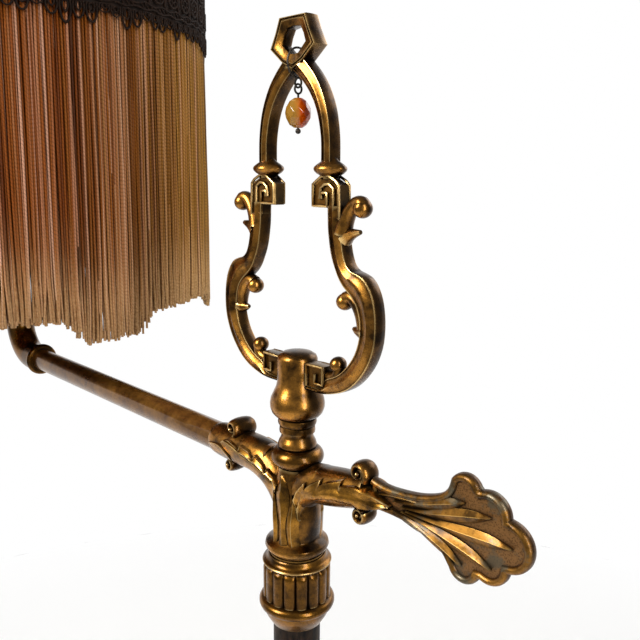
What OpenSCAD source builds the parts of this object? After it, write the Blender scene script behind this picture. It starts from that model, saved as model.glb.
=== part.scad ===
// Bridge floor lamp: a round cast base, a tube column with a turned break, a swivelling
// bracket with a side arm and a palmette handle, a loop finial with a hanging bead, and an
// upright socket whose harp carries a fringed shade.
// Z is up, the column's axis is X = Y = 0, and the base rests on Z = 0.
// The arm runs towards -X and the handle towards +X. All sizes are in millimetres.

/* [Base] */
// Outer diameter of the cast base
base_d = 286; // [250:2:340]
// Height of the cast base at its neck
base_h = 62; // [54:1:75]
// Wall of the cast base
base_wall = 6; // [4:0.5:9]
// Thickness of the felt under the base
felt_t = 2; // [1:0.5:4]
// Thickness of the iron weight inside the base
ballast_t = 20; // [12:1:24]

/* [Column] */
// Height of the arm's axis above the floor
arm_z = 1150; // [1050:5:1300]
// Outer diameter of the column tubes
shaft_d = 21; // [18:0.5:24]
// Wall of the column tubes
shaft_wall = 1.5; // [1:0.1:2.5]
// Height of the turned break's middle above the floor
break_z = 585; // [480:5:700]
// Outer diameter of the threaded pipe inside the column
pipe_d = 9.7; // [8:0.1:11]
// Bore of the threaded pipe
pipe_bore = 6.5; // [5:0.1:7]

/* [Fluted cup] */
// Outer diameter of the reeded wall
cup_d = 30; // [27:0.5:36]
// Height of the reeded wall
cup_h = 18; // [14:0.5:24]
// Number of reeds around the cup
reeds = 20; // [12:1:28]
// Diameter of the round lip under the reeds
lip_d = 33.5; // [31:0.5:40]

/* [Bracket] */
// Diameter of the bracket's stem
stem_d = 21; // [19:0.5:24]
// Diameter of the bracket's two limbs
limb_d = 16.6; // [16:0.1:19]
// Reach of the left limb, where the arm tube comes out
sleeve_x = 56; // [50:1:70]
// Reach of the right limb, where the handle starts
handle_x = 42; // [38:1:50]
// Height of the handle's middle above the arm's axis
handle_rise = 5; // [3:0.5:7]
// Thickness of the palmette handle
handle_t = 4.4; // [3.5:0.1:6]

/* [Arm and socket] */
// Outer diameter of the arm tube
arm_d = 13.9; // [12:0.1:14.5]
// Wall of the arm tube
arm_wall = 1.4; // [1:0.1:2]
// Distance from the column's axis to the shade's axis
shade_x = 290; // [270:5:330]
// Radius of the elbow's centre line
elbow_r = 22; // [18:1:28]
// Height of the socket's cup above the arm's axis
socket_rise = 100; // [90:1:120]
// Diameter of the bulb's globe
bulb_d = 60; // [50:1:66]

/* [Shade] */
// Outer diameter of the shade's skirt
shade_d = 264; // [240:2:300]
// Height of the shade's rim above the arm's axis
rim_rise = 209; // [195:1:225]
// Height of the straight skirt that carries the lace
skirt_h = 31; // [22:1:40]
// Height of the curved crown above the skirt
crown_h = 95; // [80:1:110]
// Diameter of the shade's top ring
crown_top_d = 124; // [100:2:150]
// Length of the fringe below the rim
fringe_len = 180; // [150:5:190]
// Number of scallops along the fringe's lower edge
scallops = 8; // [6:1:16]
// Diameter of the shade's wires
wire_d = 3; // [2.4:0.1:4]

/* [Finial] */
// Thickness of the finial frame from front to back
frame_t = 6.8; // [5:0.1:9]
// Scale of the frame's outline across the arm
frame_w = 1; // [0.9:0.01:1.1]
// Diameter of the hub that carries the frame
hub_d = 17; // [15:0.5:19]
// Diameter of the pendant's bead across its facets
bead_d = 10.6; // [9:0.1:12]
// Height of the pendant's bead
bead_h = 11.4; // [9:0.1:12]

/* [Hidden] */

fine = 64;       // facets of round parts, which stand for true circles
small = 32;      // facets of small round parts
slip = 0.05;     // radial clearance of a running fit
seat = 0.15;     // radial clearance of a seated or glued fit
gap = 0.3;       // clearance between neighbours that move past each other
thread_play = 0.1; // radial clearance of a screwed fit
over = 1;        // how far a cut runs past the face it opens

// ---- shared functions ----

// Points of a smooth curve through pts, with n steps between two of them
function smooth(pts, n = 4) = [
    for (i = [0 : len(pts) - 2], s = [0 : n - 1])
        let (a = pts[max(i - 1, 0)], b = pts[i], c = pts[i + 1],
             d = pts[min(i + 2, len(pts) - 1)], t = s / n)
        (2 * b + (c - a) * t + (2 * a - 5 * b + 4 * c - d) * t * t
            + (3 * b - 3 * c + d - a) * t * t * t) / 2,
    pts[len(pts) - 1]];
function flip(pts) = [for (i = [len(pts) - 1 : -1 : 0]) pts[i]];

// ---- levels, measured from the floor ----
pipe_r = pipe_d / 2;
shaft_r = shaft_d / 2;
base_r = base_d / 2;
neck_r = shaft_r + 13;                 // radius of the base's neck
break_h = 70;                          // height of the turned break
cup_base_z = arm_z - 60.5;             // middle of the cup's lip
cup_top_z = cup_base_z + cup_h + 5;    // top face of the cup, under the bracket
washer_t = 0.8;                        // friction washer between cup and bracket
bracket_z = cup_top_z + washer_t;      // lower face of the bracket
collar_z = arm_z + 3.2;                // lower face of the ring over the bracket
collar_h = 8;
collar_r = stem_d / 2 + 1;             // radius of that ring, which the bracket has a seat for
spindle_z = collar_z + collar_h + gap; // lower end of the finial's spindle
hub_top_z = arm_z + 53.6;
pipe_top_z = spindle_z + 20;
socket_z = arm_z + socket_rise;
rim_z = arm_z + rim_rise;
skirt_top_z = rim_z + skirt_h;
crown_z = skirt_top_z + crown_h;
fringe_z = rim_z - fringe_len;
limb_r = limb_d / 2;
stem_r = stem_d / 2;
arm_r = arm_d / 2;
tube_in_x = 15;                        // inner end of the arm tube, inside the bracket

module at_shade(z = 0) { translate([-shade_x, 0, z]) children(); }
module tube(r, bore, h) {
    difference() {
        cylinder(r = r, h = h, $fn = fine);
        translate([0, 0, -over]) cylinder(r = bore, h = h + 2 * over, $fn = fine);
    }
}
// A ring of round section, standing on its own middle
module bead_ring(r, section) {
    rotate_extrude($fn = fine) translate([r - section, 0]) circle(r = section, $fn = small);
}

// ---- base ----

// Outside of the casting: foot, step, long ogee and neck, as [radius, height]
foot_h = 17;
base_curve = concat(
    [[base_r, felt_t], [base_r, foot_h - 4], [base_r - 3, foot_h]],
    smooth([[base_r - 10, foot_h + 1], [base_r - 17, foot_h + 3], [base_r * 0.68, base_h * 0.44],
        [base_r * 0.45, base_h * 0.58], [base_r * 0.3, base_h * 0.77], [neck_r, base_h]], 4));
// Inside of the casting, one wall below the outside
hollow_h = base_h * 0.74 - base_wall;
base_hollow = concat(
    [[base_r - 14, felt_t - over], [base_r - 14, foot_h - 3]],
    smooth([[base_r - 20, foot_h - 2], [base_r * 0.68 - 2, base_h * 0.44 - base_wall],
        [base_r * 0.45 - 2, base_h * 0.58 - base_wall], [neck_r - 3, hollow_h]],
        4));
bushing_z = felt_t + 6.6;              // cord inlet at the back of the foot
bushing_r = 3.9;

module base_casting() {
    color("#7a5420") difference() {
        rotate_extrude($fn = fine) polygon(concat([[0, felt_t]], base_curve, [[0, base_h]]));
        rotate_extrude($fn = fine) polygon(concat([[0, felt_t - over]], base_hollow,
            [[0, hollow_h]]));
        cylinder(r = pipe_r + slip, h = base_h + over, $fn = fine);
        translate([0, base_r - 26, bushing_z]) rotate([-90, 0, 0])
            cylinder(r = bushing_r + slip, h = 26 + over, $fn = small);
    }
}
module base_felt() {
    color("#26331f") difference() {
        cylinder(r = base_r - 3, h = felt_t, $fn = fine);
        translate([0, 0, felt_t - 0.5]) cylinder(r = 30, h = 0.5 + over, $fn = fine);
    }
}
ballast_r = base_r * 0.68 - 8;
ballast_z = felt_t + 5;
ballast_low = base_h * 0.44 - base_wall - ballast_z - 1; // height of the weight's wide disc
nut_h = 4.5;
module base_ballast() {
    color("#3c3c3c") translate([0, 0, ballast_z]) difference() {
        union() {
            cylinder(r = ballast_r, h = ballast_low, $fn = fine);
            cylinder(r = base_r * 0.34, h = ballast_t, $fn = fine);
        }
        translate([0, 0, -over]) cylinder(r = pipe_r + thread_play, h = ballast_t + 2 * over,
            $fn = fine);
    }
}
module ballast_washer() {
    color("silver") translate([0, 0, ballast_z - 1.5 - gap / 3]) tube(14, pipe_r + thread_play, 1.5);
}
module base_locknut() {
    color("gold") translate([0, 0, felt_t + 0.1]) difference() {
        cylinder(r = 8.6, h = ballast_z - felt_t - 1.8, $fn = 6);
        translate([0, 0, -over]) cylinder(r = pipe_r + slip, h = nut_h + 2 * over, $fn = small);
    }
}
module cord_bushing() {
    flange_r = bushing_r + 1.3;
    color("#1d1a17") translate([0, base_r, bushing_z]) rotate([90, 0, 0]) difference() {
        union() {
            translate([0, 0, -1.6]) cylinder(r = flange_r, h = 1.6 - gap / 3, $fn = small);
            translate([0, 0, -1]) cylinder(r = bushing_r, h = 19, $fn = small);
        }
        translate([0, 0, -2 * over]) cylinder(r = bushing_r - 1.2, h = 24, $fn = small);
    }
}

// ---- column ----

// Turned sleeve over the foot of the column, as [radius, height above the base]
collar_up = 34;
base_collar_curve = [[neck_r - 1, 0], [neck_r, 3], [neck_r - 2, 6], [neck_r - 7, 8],
    [neck_r - 8, 13], [neck_r - 5, 17], [neck_r - 5, 20], [neck_r - 9, 24],
    [shaft_r + 2.5, 29], [shaft_r + 2.5, collar_up]];
module base_collar() {
    color("#8a6427") translate([0, 0, base_h]) difference() {
        rotate_extrude($fn = fine) polygon(concat([[0, 0]], smooth(base_collar_curve, 3),
            [[0, collar_up]]));
        translate([0, 0, 6]) cylinder(r = shaft_r + slip, h = collar_up, $fn = fine);
        translate([0, 0, -over]) cylinder(r = pipe_r + thread_play, h = 10, $fn = fine);
    }
}
module column_tube(z_low, z_high) {
    color("#2b1f18") translate([0, 0, z_low])
        tube(shaft_r, shaft_r - shaft_wall, z_high - z_low);
}
shaft_seat = 12;                       // how far a column tube goes into its seat
lower_top_z = break_z - break_h / 2 + shaft_seat;
upper_low_z = break_z + break_h / 2 - shaft_seat;
upper_top_z = cup_base_z + 9;
module lower_shaft() { column_tube(base_h + 6.1, lower_top_z); }
module upper_shaft() { column_tube(upper_low_z, upper_top_z); }

// Half of the turned break as [radius, height above its middle]: knop, groove, ring, neck
break_curve = [[0, shaft_r + 9.5], [6, shaft_r + 8.6], [11, shaft_r + 5], [14, shaft_r + 2.6],
    [16, shaft_r + 4.6], [19, shaft_r + 4.9], [21, shaft_r + 3], [23, shaft_r + 3.4],
    [26, shaft_r + 3.6], [28, shaft_r + 2.2], [32, shaft_r + 1.8]];
module turned_break() {
    half = break_h / 2;
    upper = [for (p = break_curve) [p[1], p[0] * break_h / 70]];
    lower = [for (p = break_curve) [p[1], -p[0] * break_h / 70]];
    curve = smooth(concat([[shaft_r + 1.8, -half]], flip([for (i = [1 : len(lower) - 1]) lower[i]]),
        upper, [[shaft_r + 1.8, half]]), 2);
    color("#8a6427") translate([0, 0, break_z]) difference() {
        rotate_extrude($fn = fine) polygon(concat([[0, -half]], curve, [[0, half]]));
        for (side = [-1, 1]) translate([0, 0, side * (half + over / 2)])
            cylinder(r = shaft_r + slip, h = 2 * shaft_seat + 0.2 + over, center = true, $fn = fine);
        cylinder(r = pipe_r + thread_play, h = break_h + 2, center = true, $fn = fine);
    }
}
module center_pipe() {
    window = 13;                       // side window that lets the cord into the arm
    color("#9a9a96") difference() {
        translate([0, 0, felt_t + 0.1]) tube(pipe_r, pipe_bore / 2, pipe_top_z - felt_t);
        translate([-pipe_r, 0, arm_z]) cube([pipe_d, pipe_bore - 2.5, window], center = true);
    }
}

// ---- fluted cup under the bracket ----
cup_r = cup_d / 2;
lip_r = lip_d / 2;
lip_section = 2.2;
reed_r = PI * cup_r / reeds * 0.92;
module fluted_cup() {
    bowl_h = 10;
    shoulder = [[cup_r - 2.6, cup_h + 5], [cup_r - 2.4, cup_h + 3.6], [cup_r - 1.4, cup_h + 1.6],
        [cup_r - 0.6, cup_h + 1.2], [cup_r - 0.6, cup_h]];
    bowl = smooth([[cup_r - 1, 0], [cup_r - 1.6, -3], [cup_r - 3, -6.2], [shaft_r + 0.9, -bowl_h]]);
    color("#8f6826") translate([0, 0, cup_base_z]) difference() {
        union() {
            rotate_extrude($fn = fine) polygon(concat([[0, cup_h + 5]], shoulder,
                [[cup_r - reed_r * 0.9, cup_h]], bowl, [[0, -bowl_h]]));
            bead_ring(lip_r, lip_section);
            translate([0, 0, cup_h + 0.6]) bead_ring(cup_r - 0.3, 0.9);
            for (i = [0 : reeds - 1]) rotate(i * 360 / reeds)
                translate([cup_r - reed_r, 0, -lip_section / 2])
                cylinder(r = reed_r, h = cup_h + 1 + lip_section / 2, $fn = small);
        }
        translate([0, 0, -bowl_h - over]) cylinder(r = shaft_r + slip, h = bowl_h + over + 9.2,
            $fn = fine);
        cylinder(r = pipe_r + thread_play, h = cup_h + 6, $fn = fine);
    }
}

// ---- swivelling bracket ----
bushing_od = 13;
bushing_h = 16;
module swivel_washer() {
    color("#b9a26a") translate([0, 0, cup_top_z + gap / 4])
        tube(cup_r - 3, pipe_r + thread_play, washer_t - gap / 2);
}
module swivel_bushing() {
    color("#caa24a") translate([0, 0, bracket_z]) tube(bushing_od / 2, pipe_r + slip, bushing_h);
}

// Stem of the bracket as [radius, height from its lower face]
stem_h = arm_z - bracket_z;
stem_curve = smooth([[stem_r + 1.4, 0], [stem_r + 1.6, 0.6], [stem_r - 0.3, 6.5], [stem_r, 10],
    [stem_r + 0.2, 18], [stem_r - 0.6, 28], [stem_r - 1.6, stem_h], [stem_r - 2, stem_h + 2.8]], 3);
arc_left = 28;                         // radius of the left limb's bend
arc_right = 18.5;                      // radius of the right limb's bend
right_drop = 0.9;                      // how far the right limb's bend lies under the arm's axis
right_axis = arm_z - right_drop;       // height of the right limb at its bend
knuckle = 0.4;                         // how far the swelling at the right limb's bend stands out
volutes = [[-39.5, 9.3, 5.2, 7], [-43.5, -9.3, 4.2, 5.5], [38.4, 11.2, 5.6, 4.6],
    [38.8, -5.8, 4.7, 4.4]];           // [x, height, radius, half length] of each scroll
tang_w = 9;                            // height of the handle's tang
tang_l = 13;
tang_t = 3.4;
limb_tip_r = limb_r - 2;               // radius of the right limb where the handle starts
right_rise = handle_rise + right_drop; // how far the right limb climbs to the handle
right_tilt = atan(right_rise / (handle_x - arc_right));
limb_end_x = handle_x + limb_tip_r * sin(right_tilt);
scroll_end_x = volutes[2][0] + volutes[2][2];
grip_x = max(limb_end_x, scroll_end_x) + gap; // where the handle's plate starts
module limb_bend(r, side) {
    translate([side * r, 0, -r]) rotate([90, 0, 0]) rotate(side > 0 ? 90 : 0)
        rotate_extrude(angle = 90, $fn = fine) translate([r, 0]) circle(r = limb_r, $fn = small);
}
module bracket() {
    color("#8a6122") difference() {
        union() {
            translate([0, 0, bracket_z]) rotate_extrude($fn = fine)
                polygon(concat([[0, 0]], stem_curve, [[0, stem_h + 2.8]]));
            translate([0, 0, bracket_z + 3.2]) bead_ring(stem_r + 3.5, 2.6);
            translate([0, 0, arm_z]) limb_bend(arc_left, -1);
            translate([0, 0, right_axis]) limb_bend(arc_right, 1);
            translate([-sleeve_x, 0, arm_z]) rotate([0, 90, 0])
                cylinder(r = limb_r, h = sleeve_x - arc_left, $fn = fine);
            translate([arc_right, 0, right_axis])
                rotate([0, 90 - right_tilt, 0]) cylinder(r1 = limb_r, r2 = limb_tip_r,
                    h = norm([handle_x - arc_right, right_rise]), $fn = fine);
            translate([arc_right, 0, right_axis]) rotate([0, 90, 0])
                sphere(r = limb_r + knuckle, $fn = fine);
            for (v = volutes) translate([v[0], 0, arm_z + v[1]]) rotate([90, 0, 0])
                cylinder(r = v[2], h = 2 * v[3], center = true, $fn = small);
        }
        translate([0, 0, bracket_z - over])
            cylinder(r = bushing_od / 2 + slip / 2, h = bushing_h + over, $fn = fine);
        translate([0, 0, bracket_z]) cylinder(r = pipe_r + gap, h = stem_h + 10, $fn = fine);
        translate([0, 0, collar_z - gap / 3])
            cylinder(r = collar_r + gap, h = limb_r + volutes[2][1], $fn = fine);
        translate([-sleeve_x - over, 0, arm_z]) rotate([0, 90, 0])
            cylinder(r = arm_r + slip, h = sleeve_x - tube_in_x + over, $fn = fine);
        translate([-tube_in_x - over, 0, arm_z]) rotate([0, 90, 0])
            cylinder(r = arm_r - arm_wall, h = tube_in_x + over, $fn = fine);
        translate([handle_x - tang_l, -tang_t / 2 - seat, arm_z + handle_rise - tang_w / 2 - seat])
            cube([tang_l + 6, tang_t + 2 * seat, tang_w + 2 * seat]);
        translate([handle_x - tang_l / 2, 0, arm_z + handle_rise]) rotate([90, 0, 0])
            cylinder(r = 1.6, h = 30, $fn = small);
    }
}
module bracket_collar() {
    ring = collar_h / 2;
    color("#8f6826") translate([0, 0, collar_z]) difference() {
        union() {
            translate([0, 0, ring]) bead_ring(collar_r, ring);
            cylinder(r = collar_r - ring, h = collar_h, $fn = fine);
        }
        translate([0, 0, -over]) cylinder(r = pipe_r + gap, h = collar_h + 2 * over, $fn = fine);
    }
}

// ---- palmette handle ----
lobes = [[86.5, 14.3, 6.6], [96.2, 9.2, 8.4], [104.3, 0.6, 9.4], [97.6, -8.2, 7.8],
    [87.6, -13.2, 6.6]];               // [x, height from the handle's middle, radius] of each lobe
module palmette_outline(rim = 0) {
    upper = smooth([[grip_x, 6.2 - rim], [54, 4.9 - rim], [64, 6 - rim], [73, 8.8 - rim],
        [79, 13 - rim], [83 + rim, 19.2 - rim]]);
    lower = smooth([[grip_x, -6.2 + rim], [56, -5.8 + rim], [66, -6.4 + rim],
        [74, -8.8 + rim], [80, -13 + rim], [83 + rim, -17.4 + rim]]);
    polygon(concat(upper, [[98, 4], [100, -3]], flip(lower)));
    for (l = lobes) translate([l[0], l[1]]) circle(r = l[2] - rim, $fn = fine);
}
module palmette_handle() {
    rim = 2.6;
    relief = 0.7;
    color("#a87a2c") translate([0, 0, arm_z + handle_rise]) difference() {
        union() {
            rotate([90, 0, 0]) linear_extrude(handle_t, center = true) palmette_outline();
            translate([handle_x - tang_l + seat, -tang_t / 2, -tang_w / 2])
                cube([tang_l + 4, tang_t, tang_w]);
        }
        for (side = [-1, 1]) translate([0, side * handle_t / 2, 0]) rotate([90, 0, 0])
            linear_extrude(2 * relief, center = true) intersection() {
                palmette_outline(rim);
                translate([66, -40]) square([60, 80]);
            }
        translate([handle_x - tang_l / 2, 0, 0]) rotate([90, 0, 0])
            cylinder(r = 1.6, h = 30, center = true, $fn = small);
    }
}
module handle_screw() {
    color("#8f6826") translate([handle_x - tang_l / 2, 0, arm_z + handle_rise]) rotate([90, 0, 0])
        translate([0, 0, -tang_t / 2]) cylinder(r = 1.5, h = limb_r - 0.7, $fn = small);
}

// ---- arm ----
elbow_collar = 4;
elbow_x = shade_x - elbow_r;           // where the arm meets the elbow's bend
module arm_tube() {
    color("#4a2c08") translate([-elbow_x, 0, arm_z]) rotate([0, 90, 0])
        tube(arm_r, arm_r - arm_wall, elbow_x - tube_in_x - 0.2);
}
module arm_elbow() {
    elbow_tube_r = arm_r + 2;
    seat_l = 12;
    color("#8a6122") difference() {
        union() {
            translate([-elbow_x, 0, arm_z + elbow_r]) rotate([90, 0, 0]) rotate(180)
                rotate_extrude(angle = 90, $fn = fine) translate([elbow_r, 0])
                circle(r = elbow_tube_r, $fn = small);
            translate([-elbow_x, 0, arm_z]) rotate([0, 90, 0])
                cylinder(r = elbow_tube_r, h = seat_l, $fn = fine);
            translate([-elbow_x + seat_l - 2, 0, arm_z]) rotate([0, 90, 0])
                bead_ring(elbow_tube_r + 1.4, 2);
            at_shade(arm_z + elbow_r) cylinder(r = elbow_tube_r, h = seat_l, $fn = fine);
            at_shade(arm_z + elbow_r + seat_l - 2) bead_ring(elbow_tube_r + 1.4, 2);
        }
        translate([-elbow_x - 0.1, 0, arm_z]) rotate([0, 90, 0])
            cylinder(r = arm_r + slip, h = seat_l + over, $fn = fine);
        at_shade(arm_z + elbow_r - 0.1) cylinder(r = arm_r + slip, h = seat_l + over, $fn = fine);
        translate([-elbow_x, 0, arm_z + elbow_r]) rotate([90, 0, 0]) rotate(180)
            rotate_extrude(angle = 90, $fn = fine) translate([elbow_r, 0])
            circle(r = arm_r - arm_wall, $fn = small);
    }
}
module riser_tube() {
    color("#4a2c08") at_shade(arm_z + elbow_r) tube(arm_r, arm_r - arm_wall,
        socket_rise - elbow_r + 5.8);
}

// ---- socket, switch and bulb ----
cup_plate = 6;                         // height of the cup's foot over the riser's end
socket_r = 16;
saddle_t = 1.6;
cap_z = socket_z + cup_plate + 0.3 + saddle_t; // lower face of the socket's cap
cap_h = 17;
shell_h = 33;
shell_z = cap_z + cap_h + 0.2;
key_z = shell_z + 9;
module socket_cup() {
    curve = smooth([[arm_r + 2.2, -14], [arm_r + 2.6, -9], [arm_r + 1.6, -6], [14, -2],
        [22, 2], [25, 6.4], [26, 9]]);
    inner = smooth([[24.6, 9], [23.4, 6.8], [19, cup_plate + 0.2]]);
    color("#8f6826") at_shade(socket_z) difference() {
        rotate_extrude($fn = fine) polygon(concat([[0, -14]], curve, inner, [[0, cup_plate]]));
        translate([0, 0, -14 - over]) cylinder(r = arm_r + slip, h = 14 + over + cup_plate - 0.1,
            $fn = fine);
        cylinder(r = pipe_r + slip, h = 20, $fn = fine);
    }
}
saddle_y = 30;                         // half width of the saddle between its posts
saddle_in = 15;                        // half width of the saddle's flat foot
saddle_up = 5.4;                       // how far the posts' ends stand over the foot
post_h = 8;
module harp_saddle() {
    saddle_w = 11;
    color("#b08a3c") at_shade(socket_z + cup_plate + 0.2) difference() {
        union() {
            cylinder(r = 9, h = saddle_t, $fn = fine);
            translate([-saddle_w / 2, -saddle_in, 0]) cube([saddle_w, 2 * saddle_in, saddle_t]);
            for (side = [0, 1]) mirror([0, side, 0]) {
                translate([-saddle_w / 2, saddle_in - saddle_t, 0])
                    cube([saddle_w, saddle_t, saddle_up + saddle_t]);
                translate([-saddle_w / 2, saddle_in - saddle_t, saddle_up])
                    cube([saddle_w, saddle_y + 2.4 - saddle_in + saddle_t, saddle_t]);
                translate([0, saddle_y, saddle_up + 1]) cylinder(r = 1.9, h = post_h, $fn = small);
            }
        }
        translate([0, 0, -over]) cylinder(r = pipe_r + thread_play, h = 5, $fn = fine);
    }
}
module socket_nipple() {
    color("#9a9a96") at_shade(socket_z - 3) tube(pipe_r - slip, pipe_bore / 2, cap_z - socket_z + 12);
}
module socket_cap() {
    curve = smooth([[7, 0], [8.6, 2.4], [13.4, 7], [socket_r + 0.6, 12], [socket_r + 0.9, cap_h]]);
    color("#a97f35") at_shade(cap_z) difference() {
        rotate_extrude($fn = fine) polygon(concat([[0, 0]], curve, [[0, cap_h]]));
        translate([0, 0, 11]) cylinder(r = socket_r - 1.2, h = cap_h, $fn = fine);
        translate([0, 0, -over]) cylinder(r = pipe_r + slip, h = cap_h, $fn = fine);
    }
}
module socket_shell() {
    color("#b58a3d") at_shade(shell_z) difference() {
        union() {
            cylinder(r = socket_r, h = shell_h, $fn = fine);
            for (z = [5, shell_h - 3]) translate([0, 0, z]) bead_ring(socket_r + 0.6, 1.1);
        }
        translate([0, 0, -over]) cylinder(r = socket_r - 0.8, h = shell_h + 2 * over, $fn = fine);
        translate([0, 0, 9]) rotate([90, 0, 0]) cylinder(r = 3.6, h = socket_r + 4, $fn = small);
    }
}
module socket_liner() {
    color("#d8cdb4") at_shade(shell_z + 0.2) difference() {
        cylinder(r = socket_r - 0.8 - seat, h = shell_h - 1, $fn = fine);
        translate([0, 0, 15]) cylinder(r = 14.1, h = shell_h, $fn = fine);
        translate([0, 0, 8.8]) rotate([90, 0, 0]) cylinder(r = 3, h = socket_r + 4, $fn = small);
        translate([0, 0, -over]) cylinder(r = 4, h = 5, $fn = small);
    }
}
module screw_shell() {
    color("#c9a65a") at_shade(shell_z + 15.3) difference() {
        cylinder(r = 14, h = 17, $fn = fine);
        translate([0, 0, 1]) cylinder(r = 13.3, h = 17, $fn = fine);
    }
}
module switch_key() {
    blade_r = 5.2;
    blade_out = blade_r + 1;           // from the shell's side to the blade's middle
    color("#2a211a") translate([-shade_x, 0, key_z]) rotate([90, 0, 0]) {
        translate([0, 0, 2.6]) cylinder(r = 2.2, h = socket_r + blade_out - 4, $fn = small);
        translate([0, 0, socket_r + blade_out]) rotate([90, 0, 0])
            cylinder(r = blade_r, h = 2.6, center = true, $fn = small);
    }
}
bulb_z = shell_z + 17.2;               // underside of the bulb's screw cap
bulb_up = 108;                         // height of the bulb over its cap's underside
module bulb_base() {
    color("#b9b9b4") at_shade(bulb_z) difference() {
        union() {
            cylinder(r1 = 8, r2 = 13, h = 4, $fn = fine);
            translate([0, 0, 4]) cylinder(r = 13, h = 21, $fn = fine);
        }
        translate([0, 0, 4.6]) cylinder(r = 12.2, h = 23, $fn = fine);
    }
}
bulb_wall = 1;
module bulb_glass() {
    r = bulb_d / 2;
    globe_z = bulb_up - r;
    neck = smooth([[12, 20], [12, 25.2], [13, 30], [16, 40], [r * 0.84, globe_z - r * 0.55]], 3);
    function globe(r) = [for (a = [-30 : 10 : 90]) [max(r * cos(a), 0), globe_z + r * sin(a)]];
    inner = concat([for (p = neck) p - [bulb_wall, 0]], globe(r - bulb_wall));
    color("#efe8d8") at_shade(bulb_z)
        rotate_extrude($fn = fine) polygon(concat(neck, globe(r), flip(inner)));
}

// ---- harp ----
harp_r = 50;                           // half width of the harp
harp_wire = 1.6;
boss_h = 12;                           // threaded stud's shoulder that the shade sits on
spider_t = 1.6;
stud_r = 3.1;                          // threaded stud on top of the harp
spider_z = crown_z - 2;                // top face of the harp's shoulder
harp_low = socket_z + cup_plate + saddle_up + saddle_t + 0.4; // lower end of the harp's sleeves
harp_arc_z = spider_z - boss_h - harp_r + 2;
harp_sides = 12;
module wire_rod(a, b, r) {
    d = b - a;
    translate(a) rotate([0, acos(d[2] / norm(d)), atan2(d[1], d[0])])
        cylinder(r = r, h = norm(d), $fn = small);
}
// The harp's wire as [y, height]: up from a sleeve, out, and over in a half circle
harp_side = smooth([[saddle_y, harp_low + 11], [saddle_y + 1, harp_low + 20],
    [saddle_y + 12, harp_low + 44], [harp_r - 1, harp_low + 72], [harp_r, harp_arc_z]], 3);
harp_path = concat(harp_side,
    [for (a = [10 : 10 : 170]) [harp_r * cos(a), harp_arc_z + harp_r * sin(a)]],
    flip([for (p = harp_side) [-p[0], p[1]]]));
// A round wire along a path in the YZ plane
module wire_along(path, r, sides) {
    last = len(path) - 1;
    points = [for (i = [0 : last]) let (d = path[min(i + 1, last)] - path[max(i - 1, 0)],
        n = [d[1], -d[0]] / norm(d)) for (k = [0 : sides - 1])
        let (a = 360 * k / sides) [-r * sin(a), path[i][0] + r * cos(a) * n[0],
            path[i][1] + r * cos(a) * n[1]]];
    polyhedron(points, concat([[for (k = [0 : sides - 1]) k]],
        [for (i = [0 : last - 1], k = [0 : sides - 1]) let (a = i * sides + k,
            b = i * sides + (k + 1) % sides) each [[a, a + sides, b + sides], [a, b + sides, b]]],
        [[for (k = [sides - 1 : -1 : 0]) last * sides + k]]));
}
module harp() {
    color("#b08a3c") at_shade(0) {
        wire_along(harp_path, harp_wire, harp_sides);
        for (side = [-1, 1]) translate([0, side * saddle_y, harp_low]) difference() {
            cylinder(r = 3, h = 14, $fn = small);
            translate([0, 0, -over]) cylinder(r = 1.9 + slip, h = 9 + over, $fn = small);
        }
        translate([0, 0, spider_z - boss_h]) cylinder(r = 5, h = boss_h, $fn = small);
        translate([0, 0, spider_z - over]) cylinder(r = stud_r, h = 14, $fn = small);
    }
}

// ---- shade ----
shade_r = shade_d / 2;
top_r = crown_top_d / 2;
fabric_t = 1;
wire_r = wire_d / 2;
// The crown's side is a hollow arc from the skirt to the top ring
chord = [top_r - shade_r, crown_h];
sag = 11;
arc_r = (chord * chord / 4 + sag * sag) / (2 * sag);
arc_mid = [(shade_r + top_r) / 2, crown_h / 2];
arc_out = [crown_h, shade_r - top_r] / norm(chord);
arc_c = arc_mid + (arc_r - sag) * arc_out;
function full_turn(a) = a < 0 ? a + 360 : a;
arc_top = full_turn(atan2(crown_h - arc_c[1], top_r - arc_c[0]));
arc_low = full_turn(atan2(-arc_c[1], shade_r - arc_c[0]));
function crown_arc(r, n = 10) = [for (i = [0 : n]) let (a = arc_low + (arc_top - arc_low) * i / n)
    arc_c + r * [cos(a), sin(a)]];
ribs = 8;
rib_in = wire_r + fabric_t + gap;      // how far the wires lie inside the fabric's outside
module shade_frame() {
    color("#5d4a2e") at_shade(skirt_top_z) {
        translate([0, 0, wire_r - skirt_h]) bead_ring(shade_r - rib_in + wire_r, wire_r);
        translate([0, 0, -2 * wire_r]) bead_ring(shade_r - rib_in + wire_r, wire_r);
        translate([0, 0, crown_h - wire_r]) bead_ring(top_r - rib_in + wire_r, wire_r);
        for (i = [0 : ribs - 1]) rotate(i * 360 / ribs) {
            translate([shade_r - rib_in, 0, wire_r - skirt_h])
                cylinder(r = wire_r * 0.8, h = skirt_h - 2 * wire_r, $fn = small);
            rotate([90, 0, 0]) translate(arc_c) rotate(arc_top)
                rotate_extrude(angle = arc_low - arc_top, $fn = fine)
                translate([arc_r + rib_in, 0]) circle(r = wire_r * 0.8, $fn = small);
        }
    }
}
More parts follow.
